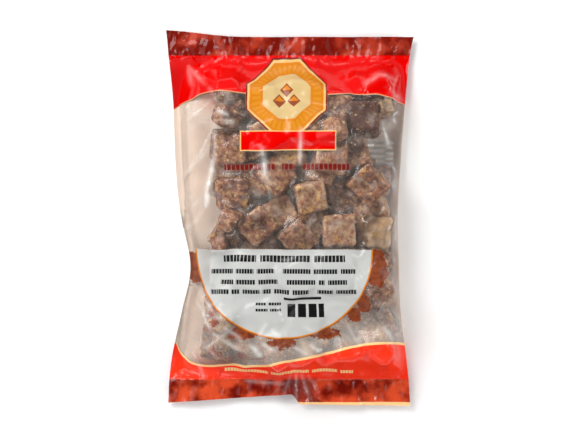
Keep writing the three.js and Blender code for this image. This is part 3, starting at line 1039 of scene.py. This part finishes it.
def srgb(red, green, blue):
    """A colour as read off a screen, 0 to 255, for a shader."""
    channels = [c / 255 for c in (red, green, blue)]
    return (*[c / 12.92 if c <= 0.04045 else ((c + 0.055) / 1.055) ** 2.4 for c in channels], 1)


# The colour sockets of a Mix node, which share their names with its other kinds
COLOUR_A, COLOUR_B, COLOUR_RESULT = 6, 7, 2


def blend_colour(tree, share, below, above):
    """Colour above over colour below, by share."""
    mix = tree.nodes.new("ShaderNodeMix")
    mix.data_type = "RGBA"
    feed(tree, share, mix.inputs["Factor"])
    feed(tree, below, mix.inputs[COLOUR_A])
    feed(tree, above, mix.inputs[COLOUR_B])
    return mix.outputs[COLOUR_RESULT]


def noise_field(tree, place, scale, detail=2.0, roughness=0.5):
    made = node(tree, "ShaderNodeTexNoise", Vector=place, Scale=scale, Detail=detail, Roughness=roughness)
    return Field(tree, made.outputs["Fac"])


def stored_field(tree, name):
    """The number that add_values stored under this name."""
    stored = tree.nodes.new("ShaderNodeAttribute")
    stored.attribute_name = name
    return Field(tree, stored.outputs["Fac"])


def curve_field(x, points):
    """A smooth curve through points in the plan: its y at x, both in millimetres."""
    xs = [p[0] for p in points]
    ys = [p[1] for p in points]
    tree = x.tree
    made = tree.nodes.new("ShaderNodeFloatCurve")
    curve = made.mapping.curves[0]
    while len(curve.points) < len(points):
        curve.points.new(0.5, 0.5)
    low, high = min(ys), max(ys)
    ordered = sorted(zip(xs, ys))
    for point, (px, py) in zip(curve.points, ordered):
        point.location = ((px - min(xs)) / (max(xs) - min(xs)), (py - low) / (high - low))
    made.mapping.update()
    feed(tree, (x - min(xs)) / (max(xs) - min(xs)), made.inputs["Value"])
    return Field(tree, made.outputs["Value"]) * (high - low) + low


# Print, in millimetres of the plan: where the red ends stop, by x and y
TOP_ARCH = [
    (-80, 66.5), (-75.5, 69.2), (-62, 76.6), (-49.3, 80.2), (-28, 78.9), (27, 78.3), (47, 79.5), (62, 76.6),
    (75, 71.8), (80, 69.5),
]
BOTTOM_ARCH = [
    (-80, -72), (-73.8, -78.3), (-67.5, -88.5), (-58.2, -93.3), (-44.2, -94.6), (-23.7, -94), (-4.5, -90.8),
    (24, -85), (51.8, -79.2), (64, -78.6), (75, -80.5), (80, -82),
]
# The thin line along each end: half its width, and how far inside the lower end it runs
TOP_LINE_HALF = 0.3
LOW_LINE_HALF = 0.75
LOW_LINE_IN = 0.4
RED = srgb(216, 2, 0)
SEAL_RED = srgb(112, 18, 8)
# The paler seal colours are painted sheen, standing for highlights on the crinkles
SEAL_SHEEN = srgb(176, 58, 38)
LOW_SEAL_SHEEN = srgb(212, 76, 42)
LOW_RED = srgb(250, 54, 27)
CREAM = srgb(252, 204, 140)
MAROON = srgb(118, 20, 14)
OCHRE = srgb(204, 122, 26)
ARCH_LINE = srgb(216, 150, 104)
GOLD = srgb(208, 136, 36)
RING = srgb(226, 180, 112)
IVORY = srgb(204, 176, 122)
WHITE = srgb(252, 250, 246)
LABEL_GREY = srgb(188, 189, 186)
INK = srgb(22, 21, 22)
CARAMEL = srgb(140, 68, 38)
CARAMEL_DARK = srgb(104, 48, 28)
HAZE = srgb(236, 224, 213)
# The crumpled lower end is milky: how far below the middle that begins and is full, and how much it covers.
# Towards the left, between these two x, it thins to this share.
LOW_HAZE = (48, 74)
LOW_HAZE_SHARE = 0.26
HAZE_ACROSS = (-45, -12)
THIN_HAZE_SHARE = 0.4
HAZE_LEAST = 0.7
HAZE_VARIES = 0.6
# How much is covered by patches of haze, by wisps, and by the painted veil where the film stands off the
# contents
CLOUD_NOISE = (45, 3.0)
CLOUD_SHARE = 0.08
WISP_NOISE = (110, 5.0, 0.6)
WISP_RAMP = (0.5, 0.7)
WISP_SHARE = 0.16
VEIL_SHARE = 0.03
# The back film's print covers this much, and this much more in patches
BACK_COVER = 0.76
BACK_PATCHES = 0.2
BACK_SCALE = 30
PEACH = srgb(255, 232, 212)
BACK_GREY = srgb(255, 250, 240)
BACK_LINE = srgb(188, 186, 176)
LABEL_MIDDLE = (-3.8, -19.7)
LABEL_RADIUS = 56.6
LABEL_RIM = 0.9
LABEL_COVER = 0.97
BADGE = (-1.9, 77.5)
BADGE_HALF = 24.5
PLAQUE = (-1.0, 48.8)
PLAQUE_HALF = (30, 6.4)
# The box of lines on the back film
BACK_BOX = (51, 39)
BACK_BOX_HALF = (17, 12)
BACK_LINES_INSET = (2, 1)
BACK_LINE_PITCH = 3.4
BACK_LINE_SHARE = 0.45
BACK_BOX_COVER = 0.9
BACK_LINE_COVER = 0.6
FLAP_STRIP_Y = -117.6
FLAP_STRIP_X = 3
# Painted shade where the pleat gathers the bottom seal, laid as darker maroon: middle, half size and
# softness
PLEAT_SHADE = (6, -110, 10, 7, 4)
PLEAT_SHADE_SHARE = 0.75
# Painted sheen on the crushed seals: paler patches that stand for the highlights on their crinkles
SEAL_NOISE = (70, 3.0, 0.5)
SEAL_SHEEN_RAMP = (0.42, 0.68)
LOW_SEAL_SHEEN_RAMP = (0.34, 0.6)
SEAL_SOFT = 0.6
# Brown splashes round the label: middle and half size
SPLASH = [
    (-61, -31, 5, 11), (55, -32, 7, 12), (46, -54, 5, 8), (40, -61, 5, 5), (23, -73, 9, 4), (-5, -79, 8, 4),
    (-31, -73, 8, 4), (-48, -61, 3, 8),
]
SPLASH_NOISE = (170, 5.0, 0.65)
SPLASH_RAGGED = 11
STAIN_NOISE = (300, 4.0, 0.65)
STAIN_RAMP = (0.4, 0.66)
# The splash also shows this far past the label's edge, and this much of its raggedness is left there
SPLASH_PAST_LABEL = 0.6
SPLASH_RIM_RAGGED = 0.3
SPLASH_COVER = 0.9
# Rows of plain blocks: y, height, and the left and right end of each run
MAROON_ROW = (32.3, 4.0, [(-41, -9), (-5, 3), (8, 38.5)])
LABEL_ROWS = [
    (-25.5, 4.3, [(-41.6, -21), (-18.5, 12.5), (15, 34.6)]),
    (-33.5, 2.9, [(-49, -35.5), (-33.5, -22.5), (-20.5, -9.5), (-4, 13), (15, 30), (32, 41.6)]),
    (-40.2, 2.9, [(-43.5, -35), (-33.5, -21.5), (-19.5, -7.5), (-1.5, 16), (18, 22), (24, 35.8)]),
    (-46.4, 2.9, [
        (-50, -38), (-36.5, -31.5), (-29.5, -19), (-17, -12), (-10, 0), (2, 12), (17.5, 27), (29, 41.6),
    ]),
    (-54.3, 1.7, [(-21.5, -15), (-13.5, -5.5)]),
    (-58.1, 1.7, [(-21.5, -14), (-12.5, -5.5)]),
]
LABEL_RULE = (-50.8, 1.7, (-3.8, 19.8))
LABEL_BLOCKS = (-58.4, 8.4, [(-1.4, 3.6), (5.2, 10.2), (11.8, 16.8), (18.0, 21.4)])
FLAP_ROW = (-98.0, 1.9, [(-42, -14), (-12, 12), (14, 30), (32, 40)])
# Blocks of a run: their pitch, finer in the low rows, and how much of it is printed
BLOCK_PITCH = 2.3
FINE_PITCH = 0.72
BROAD_PITCH = 1.2
FLAP_PITCH = 0.8
HIGH_ROW = 3
BLOCK_SHARE = 0.84
BLOCK_SOFT = 0.35
# The blocks are counted from a place this far left of the middle
BLOCKS_FROM = 500
# The badge's rings, by how far in from its rim, and its small cubes
BADGE_CORNERS = 0.74
BADGE_BEADS = 40
BADGE_BEAD_HALF = 0.3
BADGE_BEAD_SOFT = 0.16
BADGE_LINE = 1.0
BADGE_RIM = 1.4
BADGE_BEAD_RING = (3.0, 8.0)
BADGE_MIDDLE = 9.6
BADGE_CUBES = ((-4.6, -3.0), (4.6, -3.0), (0, 3.6))
BADGE_CUBE_HALF = 4.2
BADGE_CUBE_EDGE = 1.1
PLAQUE_EDGE = 0.7


def box_mask(x, y, cx, cy, half_width, half_height, soft=0.3):
    across = (x - cx).abs() * -1 + half_width
    up = (y - cy).abs() * -1 + half_height
    return across.min(up).inside(soft)


def row_mask(x, y, row_y, height, runs, pitch=None):
    """Runs along a row. With a pitch, each run is broken into small blocks."""
    mask = None
    for left, right in runs:
        run = ((x - (left + right) / 2).abs() * -1 + (right - left) / 2).inside()
        mask = run if mask is None else mask.max(run)
    mask = mask * ((y - row_y).abs() * -1 + height / 2).inside()
    if pitch:
        block = ((x + BLOCKS_FROM) / pitch).math("FRACT") * -1 + BLOCK_SHARE
        mask = mask * (block * pitch).inside(BLOCK_SOFT)
    return mask


class Ink:
    """Layers of print, haze and painted light: each layer's colour lies over the ones before, and all of
    them cover the film.
    """

    def __init__(self, tree, colour, cover):
        self.tree = tree
        self.colour = colour
        self.cover = cover

    def lay(self, mask, colour, cover=1.0):
        self.colour = blend_colour(self.tree, mask, self.colour, colour)
        self.cover = self.cover * mask.flip() + mask * cover

    def frost(self, share, colour):
        """Pale colour over the print, used for the painted highlights along the creases: share of it covers
        what lies below.
        """
        total = self.cover + share * self.cover.flip()
        self.colour = blend_colour(self.tree, share / total.max(0.001), self.colour, colour)
        self.cover = total


def plan_fields(tree):
    """x and y in the plan, in millimetres."""
    uv = tree.nodes.new("ShaderNodeUVMap")
    uv.uv_map = "film_plan"
    split = node(tree, "ShaderNodeSeparateXYZ", Vector=uv.outputs["UV"])
    x = Field(tree, split.outputs["X"]) / MM
    y = Field(tree, split.outputs["Y"]) / MM
    return x, y, uv.outputs["UV"]


def print_bands_and_seal_light(ink, x, y, place):
    """Red ends with a thin cream line where each meets the clear film, and the seals with a painted sheen
    and the gathered pleat's painted shade.
    """
    top = y - curve_field(x, TOP_ARCH)
    bottom = curve_field(x, BOTTOM_ARCH) - y
    ink.lay(top.inside(), RED)
    ink.lay(bottom.inside(), LOW_RED)
    ink.lay((top.abs() * -1 + TOP_LINE_HALF).inside(), ARCH_LINE)
    ink.lay(((bottom - LOW_LINE_IN).abs() * -1 + LOW_LINE_HALF).inside(), CREAM)
    # Painted sheen: paler patches over the dark seal red
    crushed = noise_field(ink.tree, place, *SEAL_NOISE)
    top_colour = blend_colour(ink.tree, crushed.ramp(*SEAL_SHEEN_RAMP), SEAL_RED, SEAL_SHEEN)
    ink.lay((y - TOP_SEAL_Y).inside(SEAL_SOFT), top_colour)
    low_colour = blend_colour(ink.tree, crushed.ramp(*LOW_SEAL_SHEEN_RAMP), SEAL_RED, LOW_SEAL_SHEEN)
    ink.lay((y * -1 + BOTTOM_SEAL_Y).inside(SEAL_SOFT), low_colour)
    # Painted shade in the folds of the gathered pleat
    ink.lay(box_mask(x, y, *PLEAT_SHADE) * PLEAT_SHADE_SHARE, MAROON)
    ink.lay((y * -1 + FLAP_STRIP_Y).min(x - FLAP_STRIP_X).inside(), CREAM)


def print_badge(ink, x, y):
    """An eight-sided badge with a beaded rim and three small cubes, over a plain plaque."""
    cx, cy = BADGE
    dx = x - cx
    dy = y - cy
    out = ((dx.abs() + dy.abs()) * BADGE_CORNERS).max(dx.abs().max(dy.abs())) * -1 + BADGE_HALF
    angle = dy.math("ARCTAN2", dx)
    beads = (angle * (BADGE_BEADS / math.tau) + BADGE_BEADS).math("FRACT") - 0.5
    outer, inner = BADGE_BEAD_RING
    bead_ring = (out - outer).inside() * (out - inner).inside().flip()
    ink.lay((out + BADGE_LINE).inside(), MAROON)
    ink.lay(out.inside(), RING)
    ink.lay((out - BADGE_RIM).inside(), OCHRE)
    ink.lay(bead_ring * (beads.abs() * -1 + BADGE_BEAD_HALF).inside(BADGE_BEAD_SOFT), GOLD)
    ink.lay((out - BADGE_MIDDLE).inside(), IVORY)
    for cube_x, cube_y in BADGE_CUBES:
        cube = ((dx - cube_x).abs() + (dy - cube_y).abs()) * -1 + BADGE_CUBE_HALF
        ink.lay(cube.inside(), CARAMEL)
        ink.lay((cube - BADGE_CUBE_EDGE).inside() * (dy - cube_y).inside(), OCHRE)
    half_width, half_height = PLAQUE_HALF
    ink.lay(box_mask(x, y, *PLAQUE, half_width, half_height), RING)
    ink.lay(box_mask(x, y, *PLAQUE, half_width - PLAQUE_EDGE, half_height - PLAQUE_EDGE), RED)


def print_label(ink, x, y, place):
    """A pale half disc over a ragged brown splash, with rows of plain blocks."""
    cx, cy = LABEL_MIDDLE
    dx = x - cx
    dy = y - cy
    distance = (dx * dx + dy * dy).math("SQRT")
    below = dy * -1
    ragged = noise_field(ink.tree, place, *SPLASH_NOISE) * SPLASH_RAGGED - SPLASH_RAGGED / 2
    splash = (distance * -1 + LABEL_RADIUS + SPLASH_PAST_LABEL + ragged * SPLASH_RIM_RAGGED).min(below)
    for patch_x, patch_y, half_width, half_height in SPLASH:
        across = ((x - patch_x) / half_width).math("POWER", 2)
        up = ((y - patch_y) / half_height).math("POWER", 2)
        nearness = (across + up).math("SQRT") * -1 + 1
        splash = splash.max(nearness * min(half_width, half_height) + ragged)
    stain = noise_field(ink.tree, place, *STAIN_NOISE).ramp(*STAIN_RAMP)
    ink.lay(splash.inside(0.4), blend_colour(ink.tree, stain, CARAMEL, CARAMEL_DARK), SPLASH_COVER)
    disc = (distance * -1 + LABEL_RADIUS).min(below)
    face = (distance * -1 + LABEL_RADIUS - LABEL_RIM).min(below)
    ink.lay(disc.inside(), OCHRE)
    ink.lay(face.inside(), LABEL_GREY, LABEL_COVER)
    for row_y, height, runs in LABEL_ROWS:
        pitch = BLOCK_PITCH * (1 if height > HIGH_ROW else FINE_PITCH)
        ink.lay(row_mask(x, y, row_y, height, runs, pitch), INK)
    rule_y, rule_height, rule_run = LABEL_RULE
    ink.lay(row_mask(x, y, rule_y, rule_height, [rule_run]), INK)
    ink.lay(row_mask(x, y, *LABEL_BLOCKS), INK)


FILM_IOR = 1.35
FRONT_ROUGHNESS = 0.14
BACK_ROUGHNESS = 0.5
MAROON_COVER = 0.85
MOST_GLINT = 0.9


def film_shader(tree, output, ink, roughness):
    """Ink on clear film: it lets light through where nothing is printed, and is glossy all over."""
    clear = tree.nodes.new("ShaderNodeBsdfTransparent")
    print_coat = node(tree, "ShaderNodeBsdfDiffuse", Color=ink.colour)
    gloss = node(tree, "ShaderNodeBsdfGlossy", Roughness=roughness)
    fresnel = node(tree, "ShaderNodeFresnel", IOR=FILM_IOR)
    body = tree.nodes.new("ShaderNodeMixShader")
    feed(tree, ink.cover, body.inputs[0])
    tree.links.new(clear.outputs[0], body.inputs[1])
    tree.links.new(print_coat.outputs[0], body.inputs[2])
    coat = tree.nodes.new("ShaderNodeMixShader")
    tree.links.new(fresnel.outputs[0], coat.inputs[0])
    tree.links.new(body.outputs[0], coat.inputs[1])
    tree.links.new(gloss.outputs[0], coat.inputs[2])
    tree.links.new(coat.outputs[0], output.inputs["Surface"])


def front_film_material():
    material, tree, output = new_material("printed_film")
    x, y, place = plan_fields(tree)
    cloud = noise_field(tree, place, *CLOUD_NOISE)
    thinner = x.ramp(*HAZE_ACROSS) * (1 - THIN_HAZE_SHARE) + THIN_HAZE_SHARE
    low_haze = (y * -1).ramp(*LOW_HAZE) * thinner * LOW_HAZE_SHARE
    wisps = noise_field(tree, place, *WISP_NOISE).ramp(*WISP_RAMP) * WISP_SHARE
    # Painted veil of light over the shaded gaps, where the film stands off the contents
    veil = stored_field(tree, "veil") * VEIL_SHARE
    uneven = cloud * HAZE_VARIES + HAZE_LEAST
    ink = Ink(tree, HAZE, uneven * low_haze + cloud * CLOUD_SHARE + wisps + veil)
    print_label(ink, x, y, place)
    ink.lay(row_mask(x, y, *MAROON_ROW, pitch=BLOCK_PITCH * BROAD_PITCH), MAROON, MAROON_COVER)
    print_bands_and_seal_light(ink, x, y, place)
    print_badge(ink, x, y)
    ink.lay(row_mask(x, y, *FLAP_ROW, pitch=BLOCK_PITCH * FLAP_PITCH), CREAM)
    # Painted highlights along the creases, laid as white over the print
    ink.frost(stored_field(tree, "crease_glint").min(MOST_GLINT), WHITE)
    film_shader(tree, output, ink, FRONT_ROUGHNESS)
    return material


def back_film_material():
    material, tree, output = new_material("back_film")
    x, y, place = plan_fields(tree)
    ink = Ink(tree, PEACH, noise_field(tree, place, BACK_SCALE) * BACK_PATCHES + BACK_COVER)
    half_width, half_height = BACK_BOX_HALF
    side_inset, end_inset = BACK_LINES_INSET
    ink.lay(box_mask(x, y, *BACK_BOX, half_width, half_height, 1.0), BACK_GREY, BACK_BOX_COVER)
    lines = ((y / BACK_LINE_PITCH).math("FRACT") * -1 + BACK_LINE_SHARE).inside(0.1)
    lined = box_mask(x, y, *BACK_BOX, half_width - side_inset, half_height - end_inset)
    ink.lay(lined * lines, BACK_LINE, BACK_LINE_COVER)
    print_bands_and_seal_light(ink, x, y, place)
    film_shader(tree, output, ink, BACK_ROUGHNESS)
    return material


BROWN_JAGGERY = (srgb(90, 45, 33), srgb(166, 106, 74), srgb(203, 166, 130), srgb(228, 197, 132))
LOOSE_SUGAR = (srgb(150, 100, 66), srgb(200, 150, 104), srgb(222, 184, 134), srgb(244, 214, 150))
FROST = srgb(192, 173, 152)
SPOT_YELLOW = srgb(232, 178, 88)
# The grain is turned, so that it does not line up with the cubes
GRAIN_TURN = (0.5, 0.7, 0.9)
# Each noise: scale, detail and roughness
PATCHES = (90, 3.0, 0.6)
MOTTLE = (330, 3.0, 0.6)
GRAIN = (1100, 3.0, 0.7)
FROST_NOISE = (150, 4.0, 0.65)
CRYSTAL_SCALE = 420
MOTTLE_DEPTH = 2.2
# How much of the finer or broader noise each layer adds to the mottle or the grain
SPECK_GRAIN = 0.5
SPECK_PATCHES = 0.3
DARK_FLECK_GRAIN = 0.4
SPOT_GRAIN = 0.6
RELIEF_CRYSTALS = 0.6
# Where each layer of colour begins and is full, and how much of the colour below it covers
MIDDLE_RAMP = (-0.1, 0.55)
LIGHT_RAMP = (0.45, 1.1)
SPECK_RAMP = (0.92, 1.14)
SPECK_TONE = (-0.3, 0.4)
SPECK_SHARE = (0.08, 0.42)
SPARKLE_RAMP = (0.86, 0.9)
SPARKLE_REACH = (0.55, 0.2)
SPARKLE_SHARE = 0.6
DARK_FLECK_RAMP = (0.62, 0.48)
DARK_FLECK_SHARE = 0.45
FROST_RAMP = (0.48, 0.72)
FROST_TONE = (0.1, 0.7)
FROST_SHARE = 0.55
SPOT_RAMP = (0.72, 0.92)
SPOT_SHARE = 0.85
JAGGERY_ROUGHNESS = 0.72
RELIEF_STRENGTH = 0.7
RELIEF_DEPTH = 0.5


def jaggery_material(name, dark, middle, light, speck):
    """Mottled sugar, dark to light by each lump's tone, with specks, dark flecks, frost and yellow spots."""
    material, tree, output = new_material(name)
    straight = tree.nodes.new("ShaderNodeTexCoord").outputs["Object"]
    place = node(tree, "ShaderNodeMapping", Vector=straight, Rotation=GRAIN_TURN).outputs["Vector"]
    tone = stored_field(tree, "tone")
    patches = noise_field(tree, place, *PATCHES)
    mottle = noise_field(tree, place, *MOTTLE)
    grain = noise_field(tree, place, *GRAIN)
    crystals = node(tree, "ShaderNodeTexVoronoi", Vector=place, Scale=CRYSTAL_SCALE)
    cell = Field(tree, crystals.outputs["Distance"])
    sparkle = Field(tree, node(tree, "ShaderNodeSeparateXYZ", Vector=crystals.outputs["Color"]).outputs["X"])
    mixed = tone + (patches - 0.5) + (mottle - 0.5) * MOTTLE_DEPTH
    colour = blend_colour(tree, mixed.ramp(*MIDDLE_RAMP), dark, middle)
    colour = blend_colour(tree, mixed.ramp(*LIGHT_RAMP), colour, light)
    least, more = SPECK_SHARE
    speck_share = tone.ramp(*SPECK_TONE) * more + least
    specks = (mottle + grain * SPECK_GRAIN + patches * SPECK_PATCHES).ramp(*SPECK_RAMP) * speck_share
    colour = blend_colour(tree, specks, colour, speck)
    sparkles = sparkle.ramp(*SPARKLE_RAMP) * cell.ramp(*SPARKLE_REACH) * SPARKLE_SHARE
    colour = blend_colour(tree, sparkles, colour, speck)
    colour = blend_colour(tree, (mottle + grain * DARK_FLECK_GRAIN).ramp(*DARK_FLECK_RAMP) * DARK_FLECK_SHARE, colour, dark)
    frost_share = tone.ramp(*FROST_TONE) * FROST_SHARE
    frost = noise_field(tree, place, *FROST_NOISE).ramp(*FROST_RAMP) * frost_share
    colour = blend_colour(tree, frost, colour, FROST)
    spots = stored_field(tree, "spotted") * (mottle + grain * SPOT_GRAIN).ramp(*SPOT_RAMP) * SPOT_SHARE
    colour = blend_colour(tree, spots, colour, SPOT_YELLOW)
    surface = node(tree, "ShaderNodeBsdfPrincipled", Base_Color=colour, Roughness=JAGGERY_ROUGHNESS)
    relief = node(tree, "ShaderNodeBump", Strength=RELIEF_STRENGTH, Distance=RELIEF_DEPTH * MM)
    feed(tree, grain + cell * RELIEF_CRYSTALS, relief.inputs["Height"])
    tree.links.new(relief.outputs["Normal"], surface.inputs["Normal"])
    tree.links.new(surface.outputs["BSDF"], output.inputs["Surface"])
    return material


FLOOR_GREY = (0.93, 0.93, 0.93, 1)


def floor_material():
    material, tree, output = new_material("pale_floor")
    surface = node(tree, "ShaderNodeBsdfDiffuse", Color=FLOOR_GREY)
    tree.links.new(surface.outputs[0], output.inputs["Surface"])
    return material


# Stage, in metres

CAMERA_DISTANCE = 1.2
PHOTO_WIDTH = 0.3686
EDGE_PLANE = 0.005
SENSOR = 36.0
AIM = (-0.0013, 0.0011)


def camera():
    data = bpy.data.cameras.new("camera")
    data.sensor_width = SENSOR
    data.lens = SENSOR * (CAMERA_DISTANCE - EDGE_PLANE) / PHOTO_WIDTH
    made = bpy.data.objects.new("camera", data)
    made.location = (*AIM, CAMERA_DISTANCE)
    bpy.context.scene.collection.objects.link(made)
    bpy.context.scene.camera = made


# Lights: name, azimuth, height above the table, distance, width, length and power
LIGHTS = [
    ("key", 128, 50, 0.9, 0.42, 0.42, 4.8),
    ("left_fill", 178, 48, 0.9, 0.7, 0.7, 2.6),
    ("right_strip", 352, 28, 0.8, 0.05, 0.5, 1.8),
    ("top_strip", 80, 30, 0.9, 0.5, 0.05, 0.8),
    ("low_strip", 265, 32, 0.9, 0.4, 0.05, 0.7),
]
# Brightness of the room by the height of a direction: at the horizon, in a broad ring, and straight up
ROOM_LOW = 0.42
ROOM_RING = 0.9
ROOM_UP = 0.03
RING_FROM = (0.25, 0.5)
RING_TO = (0.68, 0.86)


def lights():
    for name, azimuth, height, distance, width, length, power in LIGHTS:
        data = bpy.data.lights.new(name, "AREA")
        data.shape = "RECTANGLE"
        data.size = width
        data.size_y = length
        data.energy = power
        made = bpy.data.objects.new(name, data)
        turn, rise = math.radians(azimuth), math.radians(height)
        away = Vector((math.cos(turn) * math.cos(rise), math.sin(turn) * math.cos(rise), math.sin(rise)))
        made.location = away * distance
        made.rotation_euler = away.to_track_quat("Z", "Y").to_euler()
        bpy.context.scene.collection.objects.link(made)
    world = bpy.data.worlds.new("soft_white")
    world.use_nodes = True
    tree = world.node_tree
    background = tree.nodes["Background"]
    background.inputs["Color"].default_value = (1, 1, 1, 1)
    way = tree.nodes.new("ShaderNodeTexCoord").outputs["Generated"]
    up = Field(tree, node(tree, "ShaderNodeSeparateXYZ", Vector=way).outputs["Z"])
    room = up.ramp(*RING_FROM) * (ROOM_RING - ROOM_LOW) + ROOM_LOW
    feed(tree, room + up.ramp(*RING_TO) * (ROOM_UP - ROOM_RING), background.inputs["Strength"])
    bpy.context.scene.world = world
    bpy.context.scene.view_settings.view_transform = "Standard"


# In millimetres
FLOOR_HALF = 1500
FLOOR_Z = -0.05


def floor():
    corners = [(x * FLOOR_HALF, y * FLOOR_HALF, FLOOR_Z) for x, y in ((-1, -1), (1, -1), (1, 1), (-1, 1))]
    made = make_mesh("floor", corners, [[0, 1, 2, 3]])
    made.data.materials.append(floor_material())


def main():
    camera()
    lights()
    floor()
    cubes = jaggery_cubes()
    bits = jaggery_bits(tree_of(cubes))
    solid_trees = [tree_of(cubes), tree_of(bits)]
    contents = HeightMap(solid_trees)
    crumbs = sugar_crumbs(solid_trees, contents)
    bag = film(contents, HeightMap(solid_trees, sunk_of))
    bag.data.materials.append(front_film_material())
    bag.data.materials.append(back_film_material())
    brown = jaggery_material("jaggery", *BROWN_JAGGERY)
    sugar = jaggery_material("sugar", *LOOSE_SUGAR)
    cubes.data.materials.append(brown)
    bits.data.materials.append(brown)
    crumbs.data.materials.append(sugar)
    for piece in (bag, cubes, bits, crumbs):
        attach(piece, "root")
        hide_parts("bag")


main()
